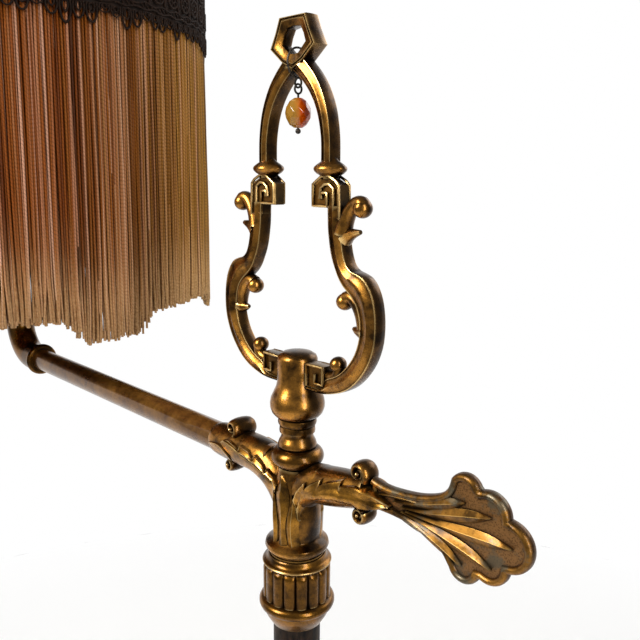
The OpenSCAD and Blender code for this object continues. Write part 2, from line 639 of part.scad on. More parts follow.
// The washer that sits on the harp, and its three spokes to the shade's top ring
module shade_spider() {
    spoke_end = top_r - rib_in - wire_r - seat;
    color("#5d4a2e") at_shade(crown_z) {
        translate([0, 0, -wire_r]) for (i = [0 : 2]) rotate(i * 120 + 60)
            wire_rod([6, 0, spider_z - crown_z + wire_r + spider_t / 2], [spoke_end, 0, 0],
                wire_r * 0.8);
        translate([0, 0, spider_z - crown_z + gap / 3]) tube(11, stud_r + seat, spider_t);
    }
}
module shade_fabric() {
    inside = [for (p = crown_arc(arc_r + fabric_t)) [p[0], max(p[1], 0)]];
    color("#b48a5a") at_shade(skirt_top_z + gap / 3) rotate_extrude($fn = fine)
        polygon(concat(crown_arc(arc_r), flip(inside)));
}
module skirt_fabric() {
    color("#b48a5a") at_shade(rim_z) tube(shade_r, shade_r - fabric_t, skirt_h);
}
lace_t = 1.4;
module lace_band() {
    color("#241a12") at_shade(rim_z - 3)
        tube(shade_r + seat + lace_t, shade_r + seat, skirt_h + 3);
}
// The fringe is one sleeve of hanging folds with a scalloped lower edge
fringe_t = 3;
scallop_h = 14;                        // how much shorter the fringe is between two scallops
scallop_w = 1.8 * shade_r / scallops;  // half width of the arch between two scallops
scallop_r = (scallop_w * scallop_w + scallop_h * scallop_h) / (2 * scallop_h);
module fringe() {
    color("#a9793f") at_shade(fringe_z) difference() {
        tube(shade_r, shade_r - fringe_t, fringe_len - 0.2);
        for (i = [0 : scallops - 1]) rotate((i + 0.5) * 360 / scallops)
            translate([shade_r - 10, 0, scallop_h - scallop_r]) rotate([0, 90, 0])
            cylinder(r = scallop_r, h = 20, $fn = fine);
    }
}
module shade_knob() {
    curve = smooth([[5.4, 0], [6.4, 2], [4.2, 5], [5, 8], [8.2, 13], [7.4, 19], [3, 24], [2.4, 27],
        [0.01, 29]], 3);
    color("#8f6826") at_shade(spider_z + spider_t + 0.2) difference() {
        rotate_extrude($fn = fine) polygon(concat([[0, 0]], curve));
        translate([0, 0, -over]) cylinder(r = stud_r + slip, h = 13, $fn = small);
    }
}

// ---- finial frame ----
// Outlines of the right half, as [x, height above the arm's axis]
arch_out = smooth([[20.8, 130], [20.7, 138], [20.2, 144], [19, 150], [17, 155], [14, 160],
    [10.4, 164.2], [6.2, 168.3]], 3);
arch_in = smooth([[0, 164.6], [4.4, 161.6], [8.2, 157.8], [11.3, 153.4], [13.7, 148.5],
    [15.2, 143.2], [15.9, 138], [16.1, 130]], 3);
loop_out = [[6.2, 168.3], [12.9, 173.6], [7.4, 185], [0, 185]];
loop_hole = [[0, 171.3], [3, 171.8], [6.2, 175.2], [5, 178.6], [3.6, 180.6], [0, 181.2]];
block = [[15.9, 126], [20.4, 126], [21.4, 124], [25.8, 121.9], [26.4, 109], [19.7, 109],
    [19.7, 113.2], [11, 113.2], [11, 121.9], [14.9, 124]];
lobe_out = concat([[26.4, 110]], smooth([[26.4, 109], [27.6, 101.5], [28.8, 95], [30.4, 91.8],
    [32.6, 90], [36, 89.3], [39.5, 88]], 3), smooth([[39.5, 88], [42.6, 84], [44.6, 79], [45.6, 72],
    [45.2, 64], [43, 57], [39.4, 51], [34.4, 45.6], [28.8, 42], [22, 40], [8, 40]], 3));
lobe_in = smooth([[8, 45.4], [19, 45.8], [25, 48], [31, 52.5], [35, 58], [37.2, 65], [37.4, 70],
    [36.6, 75], [34.6, 79], [30, 82.2], [25.3, 87.3], [21.8, 95.5], [20.4, 103], [19.7, 110]], 3);
key_box = [[8, 40], [18.4, 50.2]];
spindle = [[hub_d / 2 - 1, 52.2], [hub_d / 2, 50.4], [hub_d / 2, 40], [hub_d / 2 + 0.5, 37.6],
    [11.2, 33.6], [11.7, 31.4], [11.2, 28.6], [9.4, 27], [9.2, 25.6], [8.3, 24.2], [8.3, 22.4],
    [7.5, 20.6], [7.5, 18.6], [8.4, 16.4], [8.4, 14.8], [7.5, 13]];
scrolls = [[36, 113.4, 3.5], [27, 77.5, 3.5], [23.6, 52.2, 3.2]];
leaf_tips = [[[27.4, 107], [34.6, 104.8], [28.3, 99.5]], [[36.4, 73], [32.2, 67.6], [36.6, 62]]];
stems = [[[26.2, 103], [30.5, 106.5], [34.5, 110.4], [36, 113.4], [33, 114.4], [29.4, 112.4],
    [26.2, 110]],
    [[37.4, 66], [37, 76], [33, 79.8], [28.4, 80.2], [27, 77.5], [30, 75], [33.4, 71.5]],
    [[19.6, 45.4], [27, 48], [26.4, 52.2], [23.6, 54.4], [20.8, 52.2]]];
module frame_half() {
    polygon(concat(arch_in, arch_out));
    polygon(block);
    polygon(concat(lobe_out, lobe_in));
    difference() {
        polygon(concat([[0, 164.6], [4.2, 166.4]], loop_out));
        polygon(loop_hole);
    }
    translate(key_box[0]) square(key_box[1] - key_box[0]);
}
module finial_frame() {
    top = hub_top_z - arm_z;
    bar = frame_t / 2;
    color("#94691f") translate([0, 0, arm_z]) difference() {
        union() {
            scale([frame_w, 1, 1]) for (side = [0, 1]) mirror([side, 0, 0]) {
                rotate([90, 0, 0]) linear_extrude(frame_t, center = true) frame_half();
                rotate([90, 0, 0]) linear_extrude(frame_t * 0.66, center = true) {
                    for (s = stems) polygon(s);
                    for (t = leaf_tips) polygon(t);
                }
                for (s = scrolls) translate([s[0], 0, s[1]]) sphere(r = s[2], $fn = small);
                translate([18.2, 0, 127.9]) rotate_extrude($fn = fine)
                    polygon([[0, -3], [bar - 0.6, -3], [5.4, -0.7], [5.4, 0.5], [bar - 0.4, 3.2],
                        [0, 3.2]]);
            }
            rotate_extrude($fn = fine) polygon(concat([[0, spindle_z - arm_z], [7.5, spindle_z
                - arm_z]], flip(smooth(spindle, 2)), [[4.6, top], [0, top]]));
        }
        translate([0, 0, spindle_z - arm_z - over])
            cylinder(r = pipe_r + slip, h = pipe_top_z - spindle_z + over + 1.5, $fn = fine);
    }
}

// ---- hanging bead ----
cross_z = arm_z + 168;                 // middle of the arch's crossing, which the hook goes round
hook_wire = 0.55;
hook_r = 5.6;                          // the hook's loop, from its middle to its wire's middle
eye_r = 1.8;                           // the small eyes of hook and link
hook_eye_z = cross_z - hook_r - eye_r; // middle of the hook's eye, on which the link swings
link_eye_z = hook_eye_z - 2 * eye_r + 2 * hook_wire + 0.2;
bead_z = arm_z + 149.2;                // middle of the bead
stop_z = bead_z - bead_h / 2 - 1.2;    // middle of the small ball under the bead
module wire_eye(r) {
    rotate_extrude($fn = small) translate([r, 0]) circle(r = hook_wire, $fn = 16);
}
module pendant_hook() {
    color("#3a3632") {
        translate([0, 0, cross_z]) rotate([0, 90, 0]) wire_eye(hook_r);
        translate([0, 0, hook_eye_z]) rotate([90, 0, 0]) wire_eye(eye_r);
    }
}
module pendant_link() {
    color("#3a3632") {
        translate([0, 0, link_eye_z]) rotate([0, 90, 0]) wire_eye(eye_r);
        translate([0, 0, stop_z])
            cylinder(r = hook_wire, h = link_eye_z - eye_r + 0.2 - stop_z, $fn = 16);
        translate([0, 0, stop_z]) sphere(r = 1.1, $fn = small);
    }
}
module pendant_bead() {
    r = bead_d / 2;
    color("#cf7a22") translate([0, 0, bead_z]) difference() {
        rotate(22.5) union() {
            translate([0, 0, -bead_h * 0.18]) cylinder(r = r, h = bead_h * 0.36, $fn = 8);
            for (side = [0, 1]) mirror([0, 0, side]) translate([0, 0, bead_h * 0.18])
                linear_extrude(bead_h * 0.32, scale = 0.5) circle(r = r, $fn = 8);
        }
        cylinder(r = hook_wire + seat, h = bead_h + 2, center = true, $fn = 16);
    }
}

base_casting();
base_felt();
base_ballast();
ballast_washer();
base_locknut();
cord_bushing();
base_collar();
lower_shaft();
turned_break();
upper_shaft();
center_pipe();
fluted_cup();
swivel_washer();
swivel_bushing();
bracket();
bracket_collar();
arm_tube();
palmette_handle();
handle_screw();
arm_elbow();
riser_tube();
socket_cup();
harp_saddle();
socket_nipple();
socket_cap();
socket_shell();
socket_liner();
screw_shell();
switch_key();
bulb_base();
bulb_glass();
harp();
shade_frame();
shade_spider();
shade_fabric();
skirt_fabric();
lace_band();
fringe();
shade_knob();
finial_frame();
pendant_hook();
pendant_link();
pendant_bead();
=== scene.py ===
"""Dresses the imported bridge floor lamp: castings, fringe, lace, silk and finishes."""
import math

import bmesh
import bpy
import numpy as np
from bpy.props import FloatProperty, FloatVectorProperty, IntProperty, PointerProperty
from mathutils import Matrix, Vector


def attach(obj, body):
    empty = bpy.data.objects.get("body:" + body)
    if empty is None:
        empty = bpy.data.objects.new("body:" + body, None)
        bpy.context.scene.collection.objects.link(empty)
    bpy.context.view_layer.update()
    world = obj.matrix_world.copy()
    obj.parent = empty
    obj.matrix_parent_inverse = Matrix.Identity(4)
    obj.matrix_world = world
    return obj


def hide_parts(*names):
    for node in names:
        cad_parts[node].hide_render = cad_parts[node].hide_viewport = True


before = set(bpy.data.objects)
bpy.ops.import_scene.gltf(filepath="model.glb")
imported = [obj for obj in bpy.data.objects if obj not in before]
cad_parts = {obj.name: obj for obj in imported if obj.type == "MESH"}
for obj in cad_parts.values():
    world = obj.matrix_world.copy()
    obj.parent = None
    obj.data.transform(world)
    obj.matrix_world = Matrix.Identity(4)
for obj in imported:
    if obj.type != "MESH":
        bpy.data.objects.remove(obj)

bl_info = {
    "name": "Bridge floor lamp",
    "version": (1, 0, 0),
    "blender": (4, 5, 0),
    "location": "View3D > Sidebar > Lamp",
    "description": "Models the lamp's cast, turned and sewn pieces around its CAD frame",
    "category": "Object",
}

MM = 0.001
ARM_Z = 1150.0          # height of the arm's axis
SHADE_X = -290.0        # the shade's axis
SHADE_R = 132.0         # outer radius of the shade's skirt
RIM_Z = 1359.0          # lower edge of the skirt, where the fringe starts
SKIRT_Z = 1390.0        # upper edge of the skirt
FRINGE_Z = 1179.0       # lowest fringe tips


# ---- small tools -------------------------------------------------------------------------

def deselect():
    """Leaves object mode with nothing selected."""
    if bpy.context.mode != "OBJECT":
        bpy.ops.object.mode_set(mode="OBJECT")
    bpy.ops.object.select_all(action="DESELECT")


def activate(*pieces):
    """Selects the pieces and nothing else, the first of them as the active one."""
    deselect()
    for piece in pieces:
        piece.select_set(True)
    bpy.context.view_layer.objects.active = pieces[0]


def edit(piece):
    """Puts a piece in edit mode with all of it selected, and gives its mesh."""
    activate(piece)
    bpy.ops.object.mode_set(mode="EDIT")
    bpy.ops.mesh.select_all(action="SELECT")
    return bmesh.from_edit_mesh(piece.data)


def smooth(points, steps, closed=False):
    """Points of a curve that runs smoothly through the given ones."""
    points = [Vector(p) for p in points]
    count, curve = len(points), []
    for i in range(count if closed else count - 1):
        if closed:
            a, b, c, d = (points[(i + k) % count] for k in (-1, 0, 1, 2))
        else:
            a, b, c, d = (points[min(max(i + k, 0), count - 1)] for k in (-1, 0, 1, 2))
        for s in range(steps):
            t = s / steps
            curve.append(0.5 * (2 * b + (c - a) * t + (2 * a - 5 * b + 4 * c - d) * t * t
                                + (3 * b - 3 * c + d - a) * t ** 3))
    return curve if closed else curve + [points[-1]]


def along(points, count):
    """The given number of points at even steps along a line."""
    points = [Vector(p) for p in points]
    sums = [0.0]
    for a, b in zip(points, points[1:]):
        sums.append(sums[-1] + (b - a).length)
    found, k = [], 0
    for i in range(count):
        want = sums[-1] * i / (count - 1)
        while k < len(sums) - 2 and sums[k + 1] < want:
            k += 1
        share = (want - sums[k]) / max(sums[k + 1] - sums[k], 1e-9)
        found.append(points[k].lerp(points[k + 1], min(share, 1.0)))
    return found


def loft(name, rings, closed=False, cap=True):
    """Extrudes a circle from ring to ring. Points are in millimetres."""
    deselect()
    count = len(rings[0])
    bpy.ops.mesh.primitive_circle_add(vertices=count, radius=1, fill_type="NOTHING")
    piece = bpy.context.active_object
    piece.name = piece.data.name = name
    bpy.ops.object.mode_set(mode="EDIT")
    bm = bmesh.from_edit_mesh(piece.data)
    bm.verts.ensure_lookup_table()
    row = bm.verts[:]
    for vert, point in zip(row, rings[0]):
        vert.co = Vector(point) * MM
    for ring in list(rings[1:]) + ([rings[0]] if closed else []):
        place = {tuple(vert.co): k for k, vert in enumerate(row)}
        bpy.ops.mesh.extrude_region_move()
        bm = bmesh.from_edit_mesh(piece.data)
        bm.verts.ensure_lookup_table()
        fresh = bm.verts[-count:]
        row = [None] * count
        for vert in fresh:
            row[place[tuple(vert.co)]] = vert
        for vert, point in zip(row, ring):
            vert.co = Vector(point) * MM
    if closed:
        bpy.ops.mesh.select_all(action="SELECT")
        bpy.ops.mesh.remove_doubles(threshold=1e-6)
    elif cap:
        bpy.ops.mesh.edge_face_add()
        bpy.ops.mesh.select_all(action="DESELECT")
        bm.verts.ensure_lookup_table()
        for vert in bm.verts[:count]:
            vert.select = True
        bm.select_flush(True)
        bpy.ops.mesh.edge_face_add()
    bpy.ops.mesh.select_all(action="SELECT")
    bpy.ops.mesh.normals_make_consistent(inside=False)
    bpy.ops.object.mode_set(mode="OBJECT")
    return piece


def turned(name, profile, steps=72, cap=True):
    """A piece turned round the column: a circle extruded through [radius, height] levels."""
    rings = [[(r * math.cos(a), r * math.sin(a), z)
              for a in (2 * math.pi * k / steps for k in range(steps))] for r, z in profile]
    return loft(name, rings, cap=cap)


def tube(name, path, radii, sides, squash=1.0, closed=False):
    """A round bar along a path in the lamp's XZ plane or in space, flattened across Y."""
    path = [Vector(p) for p in path]
    rings = []
    for i, point in enumerate(path):
        a = path[i - 1 if closed else max(i - 1, 0)]
        b = path[(i + 1) % len(path) if closed else min(i + 1, len(path) - 1)]
        way = (b - a).normalized()
        side = Vector((0, 1, 0)) if abs(way.y) < 0.9 else Vector((1, 0, 0))
        up = way.cross(side).normalized()
        side = up.cross(way)
        r = radii[i] if isinstance(radii, (list, tuple)) else radii
        rings.append([point + r * (math.cos(t) * up + squash * math.sin(t) * side)
                      for t in (2 * math.pi * k / sides for k in range(sides))])
    return loft(name, rings, closed=closed)


def ball(name, at, radius, squash=1.0):
    """A ball at a place in millimetres, flattened or stretched across Y."""
    deselect()
    bpy.ops.mesh.primitive_uv_sphere_add(segments=24, ring_count=14, radius=radius * MM,
                                         location=Vector(at) * MM)
    piece = bpy.context.active_object
    piece.name = name
    piece.scale = (1, squash, 1)
    bpy.ops.object.transform_apply(location=True, rotation=True, scale=True)
    return piece


def mirrored(piece, axis):
    """A copy turned over at X = 0 or Y = 0, with its faces pointing out again."""
    activate(piece)
    bpy.ops.object.duplicate()
    twin = bpy.context.active_object
    edit(twin)
    flip = tuple(-1.0 if k == axis else 1.0 for k in range(3))
    bpy.ops.transform.resize(value=flip, center_override=(0, 0, 0))
    bpy.ops.mesh.normals_make_consistent(inside=False)
    bpy.ops.object.mode_set(mode="OBJECT")
    return twin


def both_sides(pieces):
    """The pieces with their copies on the lamp's far side."""
    return pieces + [mirrored(piece, 1) for piece in pieces]


def join(name, pieces, angle=35):
    """Joins pieces into one, smooth but for edges sharper than an angle in degrees."""
    activate(*pieces)
    if len(pieces) > 1:
        bpy.ops.object.join()
    piece = bpy.context.active_object
    piece.name = piece.data.name = name
    bpy.ops.object.shade_smooth_by_angle(angle=math.radians(angle))
    return piece


def copy_in_row(piece, count, step):
    """Repeats a piece along X, one copy each step of so many millimetres."""
    row = piece.modifiers.new("Row", "ARRAY")
    row.count = count
    row.use_relative_offset = False
    row.use_constant_offset = True
    row.constant_offset_displace = (step * MM, 0, 0)
    activate(piece)
    bpy.ops.object.modifier_apply(modifier=row.name)


def points_of(piece):
    """Where the points of a piece are, in millimetres."""
    co = np.zeros(len(piece.data.vertices) * 3)
    piece.data.vertices.foreach_get("co", co)
    return co.reshape(-1, 3) / MM


def move_points(piece, points):
    """Moves the points of a piece to new places, and turns its faces outwards again."""
    piece.data.vertices.foreach_set("co", (points * MM).ravel())
    edit(piece)
    bpy.ops.mesh.normals_make_consistent(inside=False)
    bpy.ops.object.mode_set(mode="OBJECT")


BEND_REACH = (0.25, 0.8)    # a bend is measured over at least and at most this far
SHARP_BEND = 2.0            # radians in a millimetre that make a sharp edge
OWN_SHARE = 0.7             # of a point's edge mark that comes from its own bend, not its neighbours'


def mark_wear_and_highlight(piece):
    """Writes how sharply each point bends, from -1 in a crease to 1 on a thin edge."""
    bm = bmesh.new()
    bm.from_mesh(piece.data)
    bm.normal_update()
    bends = {}
    for edge in bm.edges:
        if len(edge.link_faces) == 2:
            area = sum(face.calc_area() for face in edge.link_faces)
            reach = area / max(2 * edge.calc_length(), 1e-9) / MM
            reach = min(max(reach, BEND_REACH[0]), BEND_REACH[1])
            bends[edge.index] = edge.calc_face_angle_signed(0.0) / reach
    sharp = []
    for vert in bm.verts:
        near = [bends.get(edge.index, 0.0) for edge in vert.link_edges] or [0.0]
        sharp.append(max(-1.0, min(1.0, max(near, key=abs) / SHARP_BEND)))
    wear = []
    for vert in bm.verts:
        own = sharp[vert.index]
        near = [sharp[edge.other_vert(vert).index] for edge in vert.link_edges] or [own]
        wear.append(OWN_SHARE * own + (1 - OWN_SHARE) * sum(near) / len(near))
    bm.free()
    piece.data.attributes.new("wear", "FLOAT", "POINT").data.foreach_set("value", wear)


def dress(piece, material, body, slot, *nodes, wear=True):
    """Gives a finished piece its material and its body, marks its bends unless told not to, and
    hides the CAD nodes it stands for. slot is not used.
    """
    if wear:
        mark_wear_and_highlight(piece)
    piece.data.materials.clear()
    piece.data.materials.append(material)
    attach(piece, body)
    if nodes:
        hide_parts(*nodes)


# ---- materials ---------------------------------------------------------------------------

def linear(hex_colour):
    """An sRGB hex colour as linear RGBA."""
    parts = [int(hex_colour[i:i + 2], 16) / 255 for i in (1, 3, 5)]
    return tuple(p / 12.92 if p <= 0.04045 else ((p + 0.055) / 1.055) ** 2.4 for p in parts) + (1,)


def rgba(colour):
    """A colour given as sRGB hex, as one grey level or as a property's linear value."""
    if isinstance(colour, str):
        return linear(colour)
    if isinstance(colour, float):
        return (colour,) * 3 + (1,)
    return tuple(colour)


def add(tree, kind, *inputs, out=None, stops=(), **settings):
    """Adds a node and gives its output called out, or else its first one.

    inputs go to its sockets in order, and settings to its properties and named sockets. Each is a
    value, a colour or another node's output. stops are the places and colours of a ramp.
    """
    node = tree.nodes.new("ShaderNode" + kind)
    feeds = []
    for key, value in settings.items():
        if hasattr(node, key):
            setattr(node, key, value)
        else:
            feeds.append((node.inputs[key.replace("_", " ")], value))
    feeds += zip([socket for socket in node.inputs if socket.enabled], inputs)
    for socket, value in feeds:
        if isinstance(value, bpy.types.NodeSocket):
            tree.links.new(value, socket)
        else:
            socket.default_value = rgba(value) if socket.type == "RGBA" else value
    if stops:
        bar = node.color_ramp.elements
        while len(bar) < len(stops):
            bar.new(0.5)
        for element, (place, colour) in zip(bar, stops):
            element.position = place
            element.color = rgba(colour)
    return node.outputs[out] if out else next((o for o in node.outputs if o.enabled), None)


def new_material(name):
    """An empty material, its node tree and the place on the piece that its patterns follow."""
    material = bpy.data.materials.new(name)
    material.use_nodes = True
    tree = material.node_tree
    tree.nodes.clear()
    return material, tree, add(tree, "TexCoord", out="Object")


def per_mm(size):
    """Texture scale for a pattern of this size in millimetres."""
    return 1000.0 / size


def aged_metal(name, dark, mid, light, rough=0.27, cavity=2.5, patch=14, grain=0.25, bump=0.06,
               grey=None, sides=0.0, field=None):
    """Cast or spun brass with an old gilt lacquer: dark in its hollows from dirt and painted shade,
    pale on its edges from wear and painted highlight.

    cavity, patch, grain and bump are the sizes in mm of its hollows, stains, specks and dents.
    grey is bare metal in patches, sides how strongly painted shade darkens the faces that turn
    sideways, and field the depth and colour of a sunk ground.
    """
    material, tree, place = new_material(name)
    cloud = add(tree, "TexNoise", place, Scale=per_mm(patch), Detail=5.0, Roughness=0.6)
    speck = add(tree, "TexNoise", place, Scale=per_mm(grain * 6), Detail=3.0, Roughness=0.7)
    # broad stains in the lacquer and small dark specks
    stain = add(tree, "ValToRGB", cloud, stops=((0.34, 0.12), (0.6, 1.0)))
    base = add(tree, "Mix", stain, dark, mid, data_type="RGBA")
    dirt = add(tree, "ValToRGB", speck, stops=((0.52, 0.0), (0.72, 1.0)))
    dirt = add(tree, "Math", dirt, 0.45, operation="MULTIPLY")
    base = add(tree, "Mix", dirt, base, dark, data_type="RGBA")
    if field:
        # the sunk ground between the leaves is stippled and keeps its brown lacquer
        sunk = add(tree, "SeparateXYZ", place, out="Y")
        sunk = add(tree, "Math", sunk, operation="ABSOLUTE")
        sunk = add(tree, "Math", sunk, (field[0] + 0.12) * MM, operation="LESS_THAN")
        stipple = add(tree, "TexVoronoi", place, Scale=per_mm(0.7))
        stipple = add(tree, "ValToRGB", stipple, stops=((0.1, 0.35), (0.55, 1.0)))
        ground = add(tree, "Mix", stipple, dark, field[1], data_type="RGBA")
        base = add(tree, "Mix", sunk, base, ground, data_type="RGBA")
    # sharp edges turn pale, part rubbed metal and part painted highlight, though not where the
    # stains are darkest
    wear = add(tree, "Attribute", attribute_name="wear", out="Fac")
    wear = add(tree, "ValToRGB", wear, stops=((0.42, 0.0), (0.85, 1.0)))
    kept = add(tree, "ValToRGB", cloud, stops=((0.25, 0.45), (0.6, 1.0)))
    edge = add(tree, "Math", wear, kept, operation="MULTIPLY")
    if sides:
        # painted shade: faces that turn sideways, away from ±Y, are darkened and lose most of their
        # pale edges, so that the front and back faces look lit and the sides shaded
        side_face_shade_mask = add(tree, "SeparateXYZ", add(tree, "TexCoord", out="Normal"), out="Y")
        side_face_shade_mask = add(tree, "Math", side_face_shade_mask, operation="ABSOLUTE")
        side_face_shade_mask = add(tree, "ValToRGB", side_face_shade_mask, stops=((0.15, 1.0), (0.75, 0.0)))
        side_shade_mix = add(tree, "Math", side_face_shade_mask, sides, operation="MULTIPLY")
        base = add(tree, "Mix", side_shade_mix, base, dark, data_type="RGBA")
        side_shade_mix = add(tree, "Math", side_face_shade_mask, 0.85, operation="MULTIPLY")
        side_shade_mix = add(tree, "Math", 1.0, side_shade_mix, operation="SUBTRACT")
        edge = add(tree, "Math", edge, side_shade_mix, operation="MULTIPLY")
    base = add(tree, "Mix", edge, base, light, data_type="RGBA")
    if grey:
        bare = add(tree, "TexNoise", place, Scale=per_mm(11), Detail=6.0, Roughness=0.65)
        bare = add(tree, "ValToRGB", bare, stops=((0.52, 0.0), (0.6, 1.0)))
        bare = add(tree, "Math", bare, 0.8, operation="MULTIPLY")
        base = add(tree, "Mix", bare, base, grey, data_type="RGBA")
    # narrow darkening in the grooves, part old dirt and part painted shade, and a wider, fainter
    # painted shade in the hollows
    groove_dirt_and_shade = add(tree, "AmbientOcclusion", Distance=cavity * MM, samples=8, out="AO")
    groove_dirt_and_shade = add(tree, "ValToRGB", groove_dirt_and_shade, stops=((0.4, 0.0), (0.9, 1.0)))
    groove_dirt_and_shade = add(tree, "Math", 1.0, groove_dirt_and_shade, operation="SUBTRACT")
    share = add(tree, "Math", groove_dirt_and_shade, 0.93, operation="MULTIPLY")
    base = add(tree, "Mix", share, base, dark, data_type="RGBA")
    hollow = add(tree, "AmbientOcclusion", Distance=cavity * 5 * MM, samples=8, out="AO")
    hollow = add(tree, "Math", 1.0, hollow, operation="SUBTRACT")
    hollow = add(tree, "Math", hollow, 0.75, operation="MULTIPLY")
    base = add(tree, "Mix", hollow, base, dark, data_type="RGBA")
    gloss = add(tree, "Math", speck, 0.16, operation="MULTIPLY")
    gloss = add(tree, "Math", gloss, rough - 0.06, operation="ADD")
    matt = add(tree, "Math", groove_dirt_and_shade, 0.3, operation="MULTIPLY")
    gloss = add(tree, "Math", gloss, matt, operation="ADD", use_clamp=True)
    height = add(tree, "Math", cloud, speck, operation="ADD")
    relief = add(tree, "Bump", Height=height, Strength=0.5, Distance=bump * MM)
    shader = add(tree, "BsdfPrincipled", Base_Color=base, Roughness=gloss, Metallic=1.0,
                 Coat_Weight=0.18, Coat_Roughness=0.12, Normal=relief)
    add(tree, "OutputMaterial", shader)
    return material


def plain_finish(name, colour, colour_2, rough, metal=0.0, patch=6.0, bump=0.03, coat=0.0,
                 stretch=(1, 1, 1), sheen=0.0, specular=0.5):
    """A finish with two close colours in soft patches of a real size."""
    material, tree, place = new_material(name)
    spot = add(tree, "Mapping", place, Scale=stretch)
    cloud = add(tree, "TexNoise", spot, Scale=per_mm(patch), Detail=6.0, Roughness=0.65)
    share = add(tree, "ValToRGB", cloud, stops=((0.38, 0.0), (0.64, 1.0)))
    gloss = add(tree, "Math", cloud, 0.2, operation="MULTIPLY")
    shader = add(tree, "BsdfPrincipled",
                 Base_Color=add(tree, "Mix", share, colour, colour_2, data_type="RGBA"),
                 Roughness=add(tree, "Math", gloss, rough - 0.1, operation="ADD"),
                 Metallic=metal, Coat_Weight=coat, Sheen_Weight=sheen, Specular_IOR_Level=specular,
                 Normal=add(tree, "Bump", Height=cloud, Strength=0.4, Distance=bump * MM))
    add(tree, "OutputMaterial", shader)
    return material


FINISHES = {}


def finish_of(name):
    """The finish of that name, as make_finishes made it."""
    return FINISHES[name]


def make_finishes(look):
    """All the materials, named for what the real ones are."""
    # Turned and cast brass under old gilt lacquer: a warm brown with a soft gloss, nearly black in
    # the hollows from old dirt and painted shade, and pale on the edges as rubbed metal and as a
    # painted highlight. The castings and the leaves are painted lighter than the turned pieces as a
    # painted highlight.
    FINISHES["antique_brass"] = aged_metal("Antique gilt brass, turned", look.recess_dirt_and_shade, look.brass,
                                           look.worn)
    FINISHES["cast_brass_painted_highlight"] = aged_metal("Antique gilt brass, cast, with painted highlight and shade", look.recess_dirt_and_shade,
                                        look.cast, look.worn, patch=7, sides=0.8)
    FINISHES["leaf_brass_painted_highlight"] = aged_metal("Antique gilt brass, leaves painted lighter as highlight", look.recess_dirt_and_shade,
                                        look.leaf, look.worn, cavity=2.6, patch=9)
    # The handle is touched most: its gilt is duller, with grey patches of bare metal
    FINISHES["worn_gold"] = aged_metal("Gilt brass casting, worn grey", look.recess_dirt_and_shade, look.palmette,
                                       "#d2a75c", rough=0.42, patch=9, grey="#625b49", sides=0.7,
                                       field=(FIELD, "#94693c"))
    # Cast iron with a bronze wash: darker and rougher than the brass, with large stains
    FINISHES["bronze"] = aged_metal("Bronzed cast iron", "#1a1009", "#5f3d17", "#a97f45",
                                    rough=0.42, patch=30, cavity=5, grain=0.5, bump=0.2)
    # Thin spun brass that was never lacquered dark: an even yellow with a silky gloss
    FINISHES["bright"] = aged_metal("Satin brass, spun", "#4a3010", "#b98a3c", "#f0d59a",
                                    rough=0.26, patch=20, bump=0.02)
    # A thick dark lacquer that has crazed in streaks along the tube, with little shine
    FINISHES["shaft"] = plain_finish("Dark mottled bronze lacquer", "#050302", "#2e2117", 0.5,
                                     patch=2.6, bump=0.22, stretch=(1, 1, 0.45), specular=0.12)
    # Brown lacquer over drawn tube: a long clear highlight
    FINISHES["arm"] = plain_finish("Brown lacquered brass tube", "#5a3710", "#8a5f24", 0.3,
                                   metal=0.8, patch=9, bump=0.02, coat=0.5)
    FINISHES["steel"] = plain_finish("Plain steel", "#6a6a66", "#8d8d88", 0.35, metal=1.0)
    FINISHES["iron"] = plain_finish("Rough cast iron", "#22211f", "#34322f", 0.7, metal=0.4,
                                    bump=0.4)
    # Wire gone nearly black, still a little metallic on its bends
    FINISHES["wire"] = plain_finish("Oxidised brass wire", "#231f1b", "#4a433a", 0.42, metal=0.8,
                                    patch=1.5)
    # Matt and slightly furry, without a highlight
    FINISHES["felt"] = plain_finish("Green wool felt", "#1e2b18", "#2c3c22", 0.95, patch=1.2,
                                    bump=0.3, sheen=0.4)
    # Moulded black with a soft clear gloss
    FINISHES["phenolic"] = plain_finish("Black moulded phenolic", "#171310", "#221b16", 0.3,
                                        coat=0.3)
    FINISHES["fibre"] = plain_finish("Pressed fibre", "#b7a57f", "#cdbd98", 0.8)
    FINISHES["bulb_cap"] = plain_finish("Aluminium bulb cap", "#9c9c98", "#b9b9b5", 0.3, metal=1.0)
    FINISHES["tape"] = plain_finish("Cotton tape over wire", "#8a6a45", "#a4835a", 0.85, patch=1.0,
                                    bump=0.2)
    # Thread and lining so dark that only their relief shows, with no gloss
    FINISHES["lace"] = plain_finish("Dark crocheted rayon", "#080503", "#2c1b10", 0.75, patch=0.9,
                                    bump=0.25, specular=0.12)
    FINISHES["lining"] = plain_finish("Dark brown silk behind the lace", "#170e08", "#2b1b10", 0.7,
                                      patch=8, bump=0.1, specular=0.2)
    FINISHES["rayon"] = fringe_yarn(look)
    FINISHES["silk"] = gathered_silk(look)
    FINISHES["bead"] = amber_glass(look)
    FINISHES["bulb"] = frosted_glass()


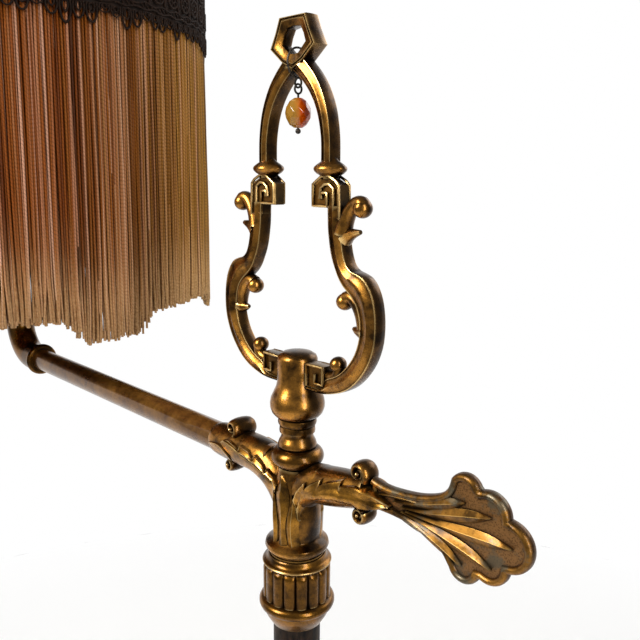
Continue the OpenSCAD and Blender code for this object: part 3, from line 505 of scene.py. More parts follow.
def fringe_yarn(look):
    """Twisted rayon yarn: each strand has its own shade, and the cut ends are paler."""
    material, tree, place = new_material("Twisted rayon yarn")
    tone, fade, across, tip, turn = (add(tree, "Attribute", attribute_name=name, out="Fac")
                                     for name in ("tone", "fade", "across", "tip", "turn"))
    golden = add(tree, "ValToRGB", tone, stops=((0.0, "#3f2403"), (0.25, "#644208"),
                                                (0.5, look.yarn), (0.75, "#986a1e"),
                                                (1.0, "#b08038")))
    pink = add(tree, "ValToRGB", tone, stops=((0.0, "#4c2003"), (0.3, "#7c3d09"), (0.5, "#8c4b14"),
                                              (0.68, look.yarn_pink), (1.0, "#c8977a")))
    colour = add(tree, "Mix", fade, golden, pink, data_type="RGBA")
    # two plies twisted together, drawn at one turn in 2 mm so that the twist shows, with painted
    # shade darkening the groove between the plies
    height = add(tree, "SeparateXYZ", place, out="Z")
    wave = add(tree, "Math", height, 2 * math.pi * per_mm(2.1), operation="MULTIPLY")
    slope = add(tree, "Math", across, 1.9, operation="MULTIPLY")
    wave = add(tree, "Math", wave, slope, operation="ADD")
    wave = add(tree, "Math", wave, turn, operation="ADD")
    wave = add(tree, "Math", wave, operation="SINE")
    ply = add(tree, "Math", wave, 0.5, operation="MULTIPLY")
    ply = add(tree, "Math", ply, 0.5, operation="ADD")
    ply_groove_shade = add(tree, "ValToRGB", ply, stops=((0.0, 0.64), (0.5, 1.0)))
    colour = add(tree, "Mix", 1.0, colour, ply_groove_shade, data_type="RGBA", blend_type="MULTIPLY")
    hair = add(tree, "TexNoise", place, Scale=per_mm(1.2), Detail=3.0)
    hair = add(tree, "Math", hair, 1.3, operation="MULTIPLY")
    frayed = add(tree, "Math", tip, hair, operation="MULTIPLY", use_clamp=True)
    colour = add(tree, "Mix", frayed, colour, look.yarn_tip, data_type="RGBA")
    # painted shade between the yarns: where they hide one another their colour is darkened towards a
    # warm brown
    painted_shade_between_yarns = add(tree, "AmbientOcclusion", Distance=4 * MM, samples=8, out="AO")
    painted_shade_between_yarns = add(tree, "ValToRGB", painted_shade_between_yarns, stops=((0.0, 0.0), (0.42, 1.0)))
    deep = add(tree, "Mix", 1.0, colour, "#7c4c20", data_type="RGBA", blend_type="MULTIPLY")
    colour = add(tree, "Mix", painted_shade_between_yarns, deep, colour, data_type="RGBA")
    relief = add(tree, "Bump", Height=ply, Strength=0.5, Distance=0.2 * MM)
    shader = add(tree, "BsdfPrincipled", Base_Color=colour, Roughness=0.5,
                 Specular_IOR_Level=0.15, Normal=relief)
    add(tree, "OutputMaterial", shader)
    return material


def gathered_silk(look):
    """Thin silk over a wire frame: a soft sheen and a fine weave, drawn coarser than it is."""
    material, tree, place = new_material("Gathered silk")
    fold = add(tree, "TexNoise", place, Scale=per_mm(30), Detail=4.0)
    weave = add(tree, "TexWave", place, Scale=per_mm(1.6), Distortion=1.5, bands_direction="Z")
    relief = add(tree, "Bump", Height=weave, Strength=0.25, Distance=0.1 * MM)
    shader = add(tree, "BsdfPrincipled", Roughness=0.5, Sheen_Weight=0.5, Normal=relief,
                 Base_Color=add(tree, "Mix", fold, look.silk, "#c79a63", data_type="RGBA"))
    add(tree, "OutputMaterial", shader)
    return material


def amber_glass(look):
    """Fire-polished glass bead, honey on one side and orange on the other, clear and glossy."""
    material, tree, place = new_material("Amber glass")
    x, y = (add(tree, "SeparateXYZ", place, out=axis) for axis in "XY")
    across = add(tree, "Math", x, y, operation="ADD")
    share = add(tree, "MapRange", across, From_Min=-0.004, From_Max=0.005)
    cloud = add(tree, "TexNoise", place, Scale=per_mm(4), Detail=3.0)
    cloud = add(tree, "Math", cloud, 0.5, operation="MULTIPLY")
    share = add(tree, "Math", share, cloud, operation="ADD")
    share = add(tree, "Math", share, 0.25, operation="SUBTRACT", use_clamp=True)
    colour = add(tree, "ValToRGB", share, stops=((0.2, look.bead_pale), (0.5, "#a8641a"),
                                                 (0.7, look.bead_deep)))
    shader = add(tree, "BsdfPrincipled", Base_Color=colour, Roughness=0.06, IOR=1.52,
                 Transmission_Weight=0.2)
    add(tree, "OutputMaterial", shader)
    return material


def frosted_glass():
    """Bulb glass, frosted inside, which hides the filament behind a milky gloss."""
    material, tree, _ = new_material("Inside-frosted glass")
    shader = add(tree, "BsdfPrincipled", Base_Color="#f3ecdc", Roughness=0.25,
                 Transmission_Weight=0.35, Coat_Weight=0.6)
    add(tree, "OutputMaterial", shader)
    return material


# ---- shapes of this lamp -----------------------------------------------------------------

def flat_points(points):
    """Listed [x, height above the arm] points as vectors with a third zero."""
    return [Vector((p[0], p[1], 0.0)) for p in points]


LIMB_END = 41.0             # past it a leaf lies on the handle's stalk
SUNK = 1.2                  # how deep a leaf's back is sunk into what it lies on
STALK_HALF = 1.5            # where its back is on the stalk, from the stalk's middle
LOBED_EDGE = 0.8            # place across a strap from which its far edge rises and falls


def strap(name, edge_a, edge_b, section, depth=None, steps=3, closed=False, rise=None):
    """A cast strap between two edge lines, which are [x, height above the arm] points.

    section lists (place across, height): -1 is edge_a and 1 is edge_b. With no depth the strap
    stands free and has the same face at the back. With depth(x, height), the surface that it
    lies on, its back is sunk into that surface. rise scales the height of each ring's far edge.
    """
    lines = [flat_points(edge) for edge in (edge_a, edge_b)]
    if steps > 1:
        lines = [smooth(line, steps, closed) for line in lines]
    rings = []
    for k, (a, b) in enumerate(zip(*lines)):
        ring = []
        for across, height in section:
            p = a.lerp(b, (across + 1) / 2)
            if rise and across > LOBED_EDGE:
                height *= rise[k]
            y = height + (depth(p.x, p.y) if depth else 0.0)
            ring.append((p.x, -y, ARM_Z + p.y))
        if depth is None:
            ring += [(x, -y, z) for x, y, z in reversed(ring)]
        else:
            for p in (b, a):
                back = depth(p.x, p.y) - SUNK
                if p.x > LIMB_END:
                    back = min(back, STALK_HALF)
                ring.append((p.x, -max(back, 0.0), ARM_Z + p.y))
        rings.append(ring)
    return loft(name, rings, closed=closed)


def inset_line(outline, distance):
    """A closed [x, height] outline moved inwards by a distance."""
    count, moved = len(outline), []
    area = sum(a[0] * b[1] - b[0] * a[1] for a, b in zip(outline, outline[1:] + outline[:1]))
    hand = 1.0 if area > 0 else -1.0
    for i, p in enumerate(outline):
        a, b = outline[i - 1], outline[(i + 1) % count]
        first = Vector((p[0] - a[0], p[1] - a[1])).normalized()
        second = Vector((b[0] - p[0], b[1] - p[1])).normalized()
        way = (first + second).normalized()
        reach = distance / max(math.sqrt((1 + first.dot(second)) / 2), 0.45)
        moved.append((p[0] - hand * way.y * reach, p[1] + hand * way.x * reach))
    return moved


def plate(name, outline, levels):
    """A flat casting with an outline. levels lists (inset, height) from its edge inwards."""
    rings = [[(x, y, ARM_Z + z) for x, z in inset_line(outline, inset)]
             for inset, y in reversed(levels)]
    rings += [[(x, -y, ARM_Z + z) for x, z in inset_line(outline, inset)]
              for inset, y in levels]
    return loft(name, rings)


def in_plane(points, y=0.0):
    """[x, height above the arm] points as points in space, at a depth y."""
    return [(p[0], y, ARM_Z + p[1]) for p in points]


def volute(name, at, radius, half, turns, start, hand, bar):
    """A scroll seen from the side: a flat bar rolled inwards round an eye.

    It is as wide as twice half, starts at an angle in degrees and rolls up to the left (hand 1)
    or to the right (-1). bar is half the thickness of its outer end.
    """
    count = int(26 * turns)             # steps along the bar
    path, radii = [], []
    for k in range(count + 1):
        t = k / count
        angle = math.radians(start) + hand * 2 * math.pi * turns * t
        reach = (radius - bar * 0.8) * (1 - 0.74 * t)
        path.append((at[0] + reach * math.cos(angle), at[1] + reach * math.sin(angle)))
        radii.append(bar * (1 - 0.4 * t))
    roll = tube(name, in_plane(path), radii, sides=18, squash=half / bar)
    eye_r = radius * 0.3
    eye = ball(name, (at[0], 0, ARM_Z + at[1]), eye_r, squash=half * 1.03 / eye_r)
    return [roll, eye]


# ---- finial --------------------------------------------------------------------------------

# The lobed frame's right half: pairs of points on its outer and inner edge
LOBE = [((26.4, 114), (19.7, 114)), ((26.4, 106.6), (20, 106)), ((27.1, 103), (20.5, 102)),
        ((27.9, 98.6), (21.3, 97.6)), ((28.8, 95.2), (22.4, 94)), ((30.2, 92.2), (24.0, 90.4)),
        ((32.6, 90.2), (25.8, 87)), ((36, 89.3), (28, 84.2)), ((39.6, 87.7), (30.6, 82)),
        ((42.6, 84), (33.2, 79.8)), ((44.6, 79), (35.6, 76.6)), ((45.6, 72), (37.1, 71.4)),
        ((45.2, 64), (37.1, 65)), ((43, 57), (35, 58.6)), ((39.4, 51), (31.4, 53.4)),
        ((34.4, 45.6), (27.8, 49.8)), ((28.8, 42), (24, 47.4)), ((22.4, 39.8), (19.6, 45.4)),
        ((18.4, 39), (17.4, 42)), ((14, 38.7), (14, 40.9)), ((8, 38.7), (8, 40.7))]
ARCH = [((20.8, 124), (15.9, 124)), ((20.8, 134), (16, 133.6)), ((20.6, 139.6), (15.8, 139)),
        ((19.9, 145), (15, 143.8)), ((18.7, 150.2), (13.6, 148.7)), ((16.6, 155.4), (11.4, 153.3)),
        ((13.8, 160.3), (8.4, 157.5)), ((10.2, 164.6), (4.6, 161.4)), ((6.2, 168.5), (0, 165))]
PENTAGON = [((0, 165.2), (0, 171.2)), ((6.2, 168.3), (2.2, 171.3)), ((12.9, 173.6), (6.4, 175)),
            ((9.6, 179.6), (5.4, 178)), ((7.4, 185), (3.8, 180.6)), ((0, 185), (0, 181.2))]
# Across the frame's bar and the head's band: place from edge to edge, and height
BAR_SECTION = [(-1.03, 0.4), (-1.0, 2.3), (-0.95, 2.9), (-0.87, 3.0), (-0.78, 2.5), (-0.5, 2.65),
               (-0.22, 3.35), (0, 3.65), (0.22, 3.35), (0.5, 2.65), (0.78, 2.5), (0.87, 3.0),
               (0.95, 2.9), (1.0, 2.3), (1.03, 0.4)]
BAND_SECTION = [(-1.02, 0.4), (-0.98, 2.9), (-0.88, 3.5), (-0.76, 3.5), (-0.62, 2.8), (-0.5, 2.8),
                (-0.36, 3.3), (-0.2, 3.3), (0.1, 2.9), (0.9, 2.5), (1.0, 2.0), (1.02, 0.4)]
# Outline of the block at an arch's foot, and the levels from its edge inwards
BLOCK = [(15.9, 126), (20.4, 126), (21.4, 124), (25.8, 121.9), (26.4, 109), (19.7, 109),
         (19.7, 113.2), (11, 113.2), (11, 121.9), (14.9, 124)]
BLOCK_LEVELS = [(0, 0.0), (0, 2.2), (0.5, 2.9), (1.1, 2.3)]
KEY_PLATE = [(8, 40), (18.4, 40), (18.4, 50.2), (8, 50.2)]
KEY_LEVELS = [(0, 0.0), (0, 2.4), (0.4, 3.0), (1.0, 2.3)]
# Collar between arch and block, a squarish ring: radius and height above its middle
COLLAR_AT = (18.2, 127.8)
COLLAR_TURN = math.radians(40)
COLLAR = [(3.4, -3.2), (3.8, -2.8), (5.8, -1.8), (6.9, -0.8), (7.2, 0), (6.9, 0.8), (5.6, 1.8),
          (4.0, 2.8), (3.0, 3.8), (2.0, 4.4)]
# Thorns beside the buds: centre line, radii and how far they are flattened
SPIKES = [([(26.6, 101.4), (28.6, 103.2), (31.4, 104.2), (34.6, 104.8)], [3.0, 2.5, 1.8, 0.9], 1.1),
          ([(38, 67.4), (35.6, 67.2), (33.6, 67.4), (31.8, 67.8)], [3.2, 2.5, 1.7, 0.8], 1.0)]
# Curled buds on the frame: centre line as (x, height, radius), and the ball at its end
BUDS = [([(25.4, 103.4, 3.6), (26.8, 108, 3.1), (29.2, 112.4, 2.7), (32.2, 115.2, 2.7),
          (34.8, 115.2, 3.0), (35.8, 113.6, 3.1)], (35.4, 113.5), 3.6),
        ([(37, 66.4, 2.2), (36.2, 73, 2.6), (33.8, 77.8, 2.8), (30.6, 79.8, 2.8), (28, 79, 2.9)],
         (27.2, 77.7), 3.4),
        ([(17.6, 46.2, 2.0), (21.6, 46.6, 2.4), (24.4, 48.6, 2.6), (24.6, 51.2, 2.7)],
         (23.9, 51.9), 3.3)]
# Raised key pattern on the blocks, as lines of round ridge
BLOCK_RIDGES = [
    [(26.1, 109), (25.6, 121.8), (23.9, 123.4), (19.9, 125.4), (16.3, 125.0), (11.7, 122.0),
     (11.7, 113.8), (19.4, 113.8), (19.4, 118.8), (16.6, 118.8), (16.6, 116.6)],
    [(22.8, 109), (22.8, 120.6), (20.4, 122.2), (18, 122), (16, 120.6), (15.4, 116.6)]]
KEY_RIDGE = [(8.4, 40.6), (8.6, 49.6), (18, 49.8), (18, 42.6), (13.6, 42.6), (13.6, 46.4)]
# Turned stem under the frame: radius and height above the arm's axis
SPINDLE = [(6.6, 11.2), (8.2, 11.8), (8.4, 12.5), (7.9, 14.2), (7.1, 15.6), (6.8, 16.8), (7.1, 17.8),
           (7.6, 18.0), (7.75, 18.9), (7.6, 20.5), (7.2, 20.9), (7.3, 21.3), (8.1, 21.7),
           (8.35, 22.6), (8.2, 24.0), (7.7, 24.5), (7.9, 24.9), (9.6, 25.4), (10.8, 26.8),
           (11.6, 29), (11.7, 31), (11.3, 33.2), (10.2, 35.6), (9.1, 38), (8.6, 40.4), (8.5, 44),
           (8.5, 50.2), (7.9, 51.6), (6, 52.8), (3, 53.5), (0.4, 53.6)]


def corner_rings(points, steps):
    """Straight runs between corners, cut into steps so that the bar's corners stay sharp."""
    line = []
    for a, b in zip(points, points[1:]):
        line += [(a[0] + (b[0] - a[0]) * k / steps, a[1] + (b[1] - a[1]) * k / steps)
                 for k in range(steps)]
    return line + [points[-1]]


def ridge(name, points, y, radius):
    """A raised line with sharp corners, at a depth y."""
    return tube(name, in_plane(corner_rings(points, 2), y), radius, sides=8)


def collar():
    """The squarish ring at an arch's foot."""
    rings = []
    for r, z in COLLAR:
        ring = []
        for a in (2 * math.pi * k / 32 for k in range(32)):
            reach = r / (abs(math.cos(a)) ** 3 + abs(math.sin(a)) ** 3) ** (1 / 3)
            turn = a + COLLAR_TURN
            ring.append((COLLAR_AT[0] + reach * math.cos(turn), 0.8 * reach * math.sin(turn),
                         ARM_Z + COLLAR_AT[1] + z))
        rings.append(ring)
    return loft("collar", rings)


def bud(line, end, size):
    """A curled bud and the ball at its end."""
    fine = smooth(line, 3)
    stalk = tube("bud", in_plane([(p.x, p.y) for p in fine]), [p.z for p in fine], sides=18,
                 squash=1.1)
    return [stalk, ball("bud", (end[0], 0, ARM_Z + end[1]), size, squash=1.12)]


def frame_side():
    """The right half of the finial's pierced frame."""
    parts = [strap("lobe", [p[1] for p in LOBE], [p[0] for p in LOBE], BAR_SECTION),
             strap("arch", [p[1] for p in ARCH], [p[0] for p in ARCH], BAR_SECTION),
             plate("block", BLOCK, BLOCK_LEVELS), plate("key", KEY_PLATE, KEY_LEVELS), collar()]
    ridges = [ridge("block_ridge", line, -2.85, 0.6) for line in BLOCK_RIDGES]
    ridges.append(ridge("key_ridge", KEY_RIDGE, -2.95, 0.7))
    parts += both_sides(ridges)
    for line, end, size in BUDS:
        parts += bud(line, end, size)
    for line, radii, squash in SPIKES:
        parts.append(tube("spike", in_plane(line), radii, sides=10, squash=squash))
    return parts


def build_finial():
    """Pierced frame, its pentagon and the turned spindle that carries it."""
    right = join("side", frame_side())
    left = mirrored(right, 0)
    outer = [p[0] for p in PENTAGON] + [(-p[0][0], p[0][1]) for p in PENTAGON[-2:0:-1]]
    inner = [p[1] for p in PENTAGON] + [(-p[1][0], p[1][1]) for p in PENTAGON[-2:0:-1]]
    ring = strap("pentagon", outer, inner, BAND_SECTION, steps=1, closed=True)
    spindle = turned("spindle", [(r, ARM_Z + z) for r, z in SPINDLE])
    finial = join("finial", [right, left, ring, spindle], angle=38)
    dress(finial, finish_of("cast_brass_painted_highlight"), "column", "antique_brass", "finial_frame")


WIRE = 0.42                 # radius of the pendant's wire
CROSS_Z = ARM_Z + 168       # middle of the crossing that the hook goes round
HOOK_R = 5.6
EYE_R = 1.8
HOOK_EYE_Z = CROSS_Z - 7.4
LINK_EYE_Z = HOOK_EYE_Z - 2.3
BEAD_Z = ARM_Z + 149.2
BEAD_STOP_Z = BEAD_Z - 6.9
BEAD_LEVELS = [(1.6, 5.7), (3.4, 4.6), (4.9, 2.0), (5.25, 0), (4.9, -2.0), (3.4, -4.6),
               (1.6, -5.7)]
FACETS = 9


def wire_ring(name, at, radius, axis):
    """A ring of wire round X (0) or Y (1)."""
    side = Vector((1, 0, 0)) if axis == 0 else Vector((0, 1, 0))
    rings = []
    for a in (2 * math.pi * k / 28 for k in range(28)):
        u, v = math.cos(a), math.sin(a)
        out = Vector((0, u, v)) if axis == 0 else Vector((u, 0, v))
        rings.append([Vector(at) + radius * out + WIRE * (math.cos(t) * out + math.sin(t) * side)
                      for t in (2 * math.pi * k / 10 for k in range(10))])
    return loft(name, rings, closed=True)


def build_pendant():
    """Wire hook, link and faceted glass bead."""
    hook = join("bead_hook", [wire_ring("hook", (0, 0, CROSS_Z), HOOK_R, 0),
                              wire_ring("hook_eye", (0, 0, HOOK_EYE_Z), EYE_R, 1)])
    dress(hook, finish_of("wire"), "hook", "dark_wire", "pendant_hook", wear=False)
    pin = [(0, 0, LINK_EYE_Z - EYE_R + 0.1), (0.1, 0, BEAD_Z), (0, 0, BEAD_STOP_Z)]
    link = join("bead_link", [wire_ring("link_eye", (0, 0, LINK_EYE_Z), EYE_R, 0),
                              tube("pin", pin, WIRE, sides=10),
                              ball("stop", (0, 0, BEAD_STOP_Z), 1.1)])
    dress(link, finish_of("wire"), "pendant", "dark_wire", "pendant_link", wear=False)
    rings = []
    for level, (r, z) in enumerate(BEAD_LEVELS):
        turn = math.pi / FACETS * (level % 2)
        rings.append([(r * math.cos(a + turn), r * math.sin(a + turn), BEAD_Z + z)
                      for a in (2 * math.pi * k / FACETS for k in range(FACETS))])
    bead = loft("bead", rings)
    edit(bead)
    bpy.ops.mesh.quads_convert_to_tris()
    bpy.ops.mesh.bevel(offset=0.12 * MM, segments=1)
    bpy.ops.object.mode_set(mode="OBJECT")
    bpy.ops.object.shade_flat()
    dress(bead, finish_of("bead"), "pendant", "bead_glass", "pendant_bead", wear=False)


# ---- bracket -------------------------------------------------------------------------------

LIMB_R = 8.3
# Upright tube of the bracket with its foot ring: radius and height from the arm's axis
STEM_PROFILE = [(11.2, -36.7), (12.0, -36.2), (12.3, -34.9), (13.6, -34.6), (14.1, -33.4),
                (13.7, -32.0), (12.2, -31.0), (10.8, -30.4), (10.2, -29.6), (10.4, -26.7),
                (10.6, -22), (10.7, -16), (10.3, -11), (9.9, -7), (9.3, -3), (8.8, 0), (8.5, 2.6),
                (5.2, 2.7)]
# The same tube as (x, height, radius), as the leaves lie on it
STEM_LINE = [(0, -33, 10.2), (0, -26.7, 10.4), (0, -18.7, 10.7), (0, -8.7, 10.0), (0, 0, 8.9),
             (0, 2.8, 8.5)]


def bend(centre, radius, first, last, count):
    """Points of an arc in the lamp's plane, as (x, height, limb radius)."""
    found = []
    for k in range(count + 1):
        a = math.radians(first + (last - first) * k / count)
        found.append((centre[0] + radius * math.cos(a), centre[1] + radius * math.sin(a), LIMB_R))
    return found


LEFT_LINE = bend((-28, -28), 28, 0, 90, 12) + [(-35, 0, 8.3), (-42, 0, 8.3), (-49, 0, 8.1),
                                               (-53, 0, 7.8), (-55.6, 0, 7.2)]
RIGHT_LINE = bend((18.5, -19.4), 18.5, 180, 90, 12) + [(27, 0.9, 8.0), (35, 2.6, 7.3),
                                                       (42.6, 4.4, 6.4)]


def on_body(x, z):
    """How far the bracket's plain body stands out from the lamp's middle plane at a point."""
    best = 0.0
    for line in (STEM_LINE, LEFT_LINE, RIGHT_LINE):
        for a, b in zip(line, line[1:]):
            run = Vector((b[0] - a[0], b[1] - a[1]))
            t = min(max(Vector((x - a[0], z - a[1])).dot(run) / run.length_squared, 0), 1)
            near = Vector((a[0] - x, a[1] - z)) + t * run
            r = a[2] + (b[2] - a[2]) * t
            if near.length < r:
                best = max(best, math.sqrt(r * r - near.length_squared))
    if x > LIMB_END:
        # the handle's stalk thins out from the limb's end
        return max(best, 2.0, 6.0 - 0.3 * (x - LIMB_END))
    return max(best, 0.8)


# Across a plain and an acanthus leaf: place from edge to edge, and height
LEAF_SECTION = [(-1, -0.7), (-0.95, 0.35), (-0.6, 0.7), (-0.14, 1.0), (0, 1.12), (0.14, 1.0),
                (0.6, 0.7), (0.95, 0.35), (1, -0.7)]
ACANTHUS_SECTION = [(-1, -0.7), (-0.97, 0.4), (-0.85, 0.8), (-0.5, 1.0), (-0.15, 0.95), (0.1, 0.7),
                    (0.3, 0.65), (0.55, 0.85), (0.86, 1.05), (0.96, 0.85), (1, -0.7)]


# Upright leaves of the stem, from the foot up: pairs of points on the left and right edge
STEM_LEAVES = [
    [((-0.6, -32), (4.9, -32)), ((0.3, -28), (4.3, -28)), ((1.0, -23), (3.8, -23)),
     ((0.6, -18.6), (4.2, -18.6)), ((-0.8, -14.4), (4.9, -14)), ((-2.0, -11), (5.3, -10.6)),
     ((-2.4, -7.8), (5.0, -7.4)), ((-1.6, -4.6), (3.9, -4.2)), ((-0.2, -1.8), (2.4, -1.6)),
     ((0.9, 0.6), (1.1, 0.6))],
    [((4.7, -32), (8.8, -32)), ((4.5, -27), (8.4, -27)), ((4.3, -22), (8.4, -22)),
     ((4.6, -17), (8.6, -17)), ((5.3, -13), (8.2, -13)), ((6.1, -9.6), (7.4, -9.6)),
     ((6.7, -6.6), (6.8, -6.6))],
    [((-4.6, -32), (-1.2, -32)), ((-4.6, -26), (-0.6, -26)), ((-4.8, -20), (-0.4, -20)),
     ((-4.9, -15), (-1.4, -15)), ((-4.4, -10.6), (-3.0, -10.6)), ((-3.8, -7.2), (-3.6, -7.1))]]
# Acanthus leaves that wrap the limbs: pairs of points on the lower and on the lobed edge, with
# how high the lobed edge stands there (low in the notches)
RIGHT_ACANTHUS = [
    ((8.9, -18.5), (8.0, -14), 0.8), ((8.7, -16), (7.3, -8.2), 1), ((9.0, -14.2), (10.1, -3.1), 1),
    ((9.6, -12.7), (14.2, 1.7), 1), ((10.2, -12), (14.5, -0.9), 0.8),
    ((12.9, -9.8), (18.0, 2.6), 1), ((17.4, -6.6), (22.6, 5.6), 1),
    ((19.6, -5.1), (22.6, 3.0), 0.8), ((24.6, -2.6), (25.4, 5.1), 1),
    ((28.2, -1.6), (28.6, 6.4), 1), ((30.6, -1.6), (33.0, 8.2), 1),
    ((33.8, -1.4), (33.0, 5.8), 0.8), ((35.4, -1.0), (35.8, 6.8), 1), ((38.2, -1.2), (39.4, 7.6), 1),
    ((41.6, -1.4), (43.0, 7.4), 1), ((45.2, -1.0), (46.6, 6.6), 1), ((48.6, 0.0), (49.8, 5.4), 0.95),
    ((51.6, 1.2), (52.4, 4.4), 0.8), ((54.6, 2.8), (54.8, 3.2), 0.5)]
LEFT_ACANTHUS = [
    ((-2.4, -7.4), (-2.2, -5.0), 0.8), ((-6.2, -5.7), (-3.6, -3.4), 1),
    ((-8.4, -4.0), (-7.7, -2.1), 1), ((-10.2, -3.2), (-10.6, -0.3), 1.15),
    ((-10.9, -2.9), (-11.5, -2.1), 0.5), ((-12.7, -2.1), (-12.7, 0.2), 1),
    ((-15.7, -1.1), (-15.2, 2.0), 1), ((-18.1, -0.5), (-19.0, 3.7), 1.15),
    ((-19.7, -0.2), (-20.1, 1.6), 0.5), ((-22.8, 0.5), (-23.6, 4.3), 1),
    ((-26.2, 1.2), (-29.6, 5.1), 1.15), ((-28.3, 1.5), (-30.4, 2.6), 0.6),
    ((-33.3, 2.3), (-33.3, 4.0), 0.9), ((-38, 3.1), (-38.1, 4.9), 0.9),
    ((-41.6, 4.0), (-41.8, 4.4), 0.5)]
LEFT_UNDERLEAF = [
    ((-5.4, -13.6), (-2.6, -7.3)), ((-8.9, -9.6), (-6.4, -5.6)), ((-11.7, -8.4), (-8.6, -4.1)),
    ((-15.2, -7.4), (-11, -3.0)), ((-19.4, -6.6), (-14.5, -1.8)), ((-24, -5.6), (-18.4, -0.6)),
    ((-28.4, -4.6), (-23.2, 0.4)), ((-33, -3.2), (-28.7, 1.5)), ((-37.4, -1.6), (-33.6, 2.4)),
    ((-41.4, 0.4), (-38.3, 3.2)), ((-44.6, 2.4), (-42.2, 4.0))]
LEFT_TIP = [((-38, -6.0), (-38, -2.2)), ((-43, -4.6), (-42, 0.4)), ((-48, -3.0), (-47, 1.4)),
            ((-53.6, -0.6), (-53.4, 0.2))]
UNDERLEAF_SECTION = [(-1, -0.6), (-0.9, 0.3), (-0.3, 0.5), (0.3, 0.75), (0.7, 1.05), (0.9, 1.1),
                     (1, 0.7)]


def upright_leaf(pairs):
    """A pointed leaf of the stem."""
    section = [(u, h * 1.25) for u, h in LEAF_SECTION]
    return strap("leaf", [p[0] for p in pairs], [p[1] for p in pairs], section, on_body, steps=2)


def acanthus(pairs):
    """A broad leaf with pointed lobes along one edge and a fold along its middle."""
    edges = [corner_rings([p[k] for p in pairs], 2) for k in (0, 1)]
    rise = [p[0] for p in corner_rings([(p[2], 0) for p in pairs], 2)]
    section = [(u, h * 1.7) for u, h in ACANTHUS_SECTION]
    return strap("acanthus", edges[0], edges[1], section, on_body, steps=1, rise=rise)


# Scrolls: middle, radius, half width, turns, start in degrees, hand and half thickness of the bar
VOLUTES = [((38.4, 11.2), 5.6, 4.6, 1.45, -35, 1, 1.8), ((38.8, -6.0), 4.7, 4.4, 1.35, 30, -1, 1.5),
           ((-39.5, 9.5), 5.3, 7.0, 1.3, -50, 1, 1.9), ((-43.5, -9.3), 4.3, 5.5, 1.3, 45, -1, 1.5)]


def build_bracket():
    """Stem, two limbs, their scrolls and the acanthus leaves that wrap them."""
    parts = [turned("stem", [(r, ARM_Z + z) for r, z in STEM_PROFILE])]
    for line in (LEFT_LINE, RIGHT_LINE):
        fine = smooth([(x, z, r) for x, z, r in line], 3)
        parts.append(tube("limb", in_plane([(p.x, p.y) for p in fine]), [p.z for p in fine],
                          sides=40))
    for at, radius, half, turns, start, hand, bar in VOLUTES:
        parts += volute("scroll", at, radius, half, turns, start, hand, bar)
    leaves = [upright_leaf(pairs) for pairs in STEM_LEAVES]
    leaves += [acanthus(RIGHT_ACANTHUS), acanthus(LEFT_ACANTHUS)]
    for pairs in (LEFT_UNDERLEAF, LEFT_TIP):
        leaves.append(strap("underleaf", [p[0] for p in pairs], [p[1] for p in pairs],
                            [(u, 1.1 * h) for u, h in UNDERLEAF_SECTION], on_body, steps=2))
    bracket = join("bracket_casting", parts, angle=40)
    dress(bracket, finish_of("cast_brass_painted_highlight"), "arm", "antique_brass", "bracket")
    foliage = join("bracket_leaves", both_sides([join("leaves", leaves)]), angle=40)
    dress(foliage, finish_of("leaf_brass_painted_highlight"), "arm", "antique_brass")


# ---- palmette handle -------------------------------------------------------------------------

HANDLE_UP = 5.0             # height of the handle's middle above the arm's axis
# Round lobes of the fan: x, height and radius
LOBES = [(86.5, 14.3, 6.6), (96.2, 9.2, 8.4), (104.3, 0.6, 9.4), (97.6, -8.2, 7.8),
         (87.6, -13.2, 6.6)]
HANDLE_TOP = [(80.9, 17.8), (79.6, 13.6), (76.4, 10.4), (71, 8.0), (64, 6.2), (54, 5.0),
              (48, 5.3), (44.4, 6.2)]
HANDLE_LOW = [(44.4, -6.2), (49, -6), (56, -5.9), (66, -6.6), (73, -8.4), (78, -11.4),
              (81.5, -15.7)]
FAN_EYE = (86.0, 1.0)       # point from which the fan's five lobes are seen
FIELD = 1.2                 # half thickness of the handle's recessed field
# From the palmette's edge inwards: distance and half thickness
RIM_LEVELS = [(0.0, 0.0), (0.05, 0.9), (0.3, 1.6), (0.9, 2.3), (1.6, 2.5), (2.3, 2.3), (2.8, 1.7),
              (3.0, FIELD)]
LEAF_RINGS = 15
LEAF_ROOT = 0.2             # a leaf's width at its root, as a share of its widest
LEAF_WIDEST = 0.7           # how far along it a leaf is widest
# Leaves of the fan: middle line from root to tip, width and height
PALM_LEAVES = [([(45, 0.2), (51, 1.4), (57, 2.6), (63, 3.4), (70, 3.6)], 3.2, 1.1),
               ([(56, 0.6), (64, 2.2), (71, 4.6), (79, 7.6), (87.4, 10.6)], 5.0, 1.4),
               ([(60, -0.4), (70, 1.0), (80, 3.8), (89, 6.4), (98, 8.8)], 5.2, 1.5),
               ([(62, -1.4), (74, -1.2), (86, -0.4), (97, 0.4), (106.6, 0.8)], 5.4, 1.5),
               ([(60, -2.2), (71, -3.4), (82, -5.4), (91, -7.4), (99, -9.6)], 5.2, 1.5),
               ([(54, -2.6), (63, -4.2), (72, -6.8), (80, -9.8), (87, -13)], 4.8, 1.4),
               ([(45, -2.4), (52, -3.2), (60, -4.6), (67, -6.2), (73, -7.8)], 3.0, 1.0)]


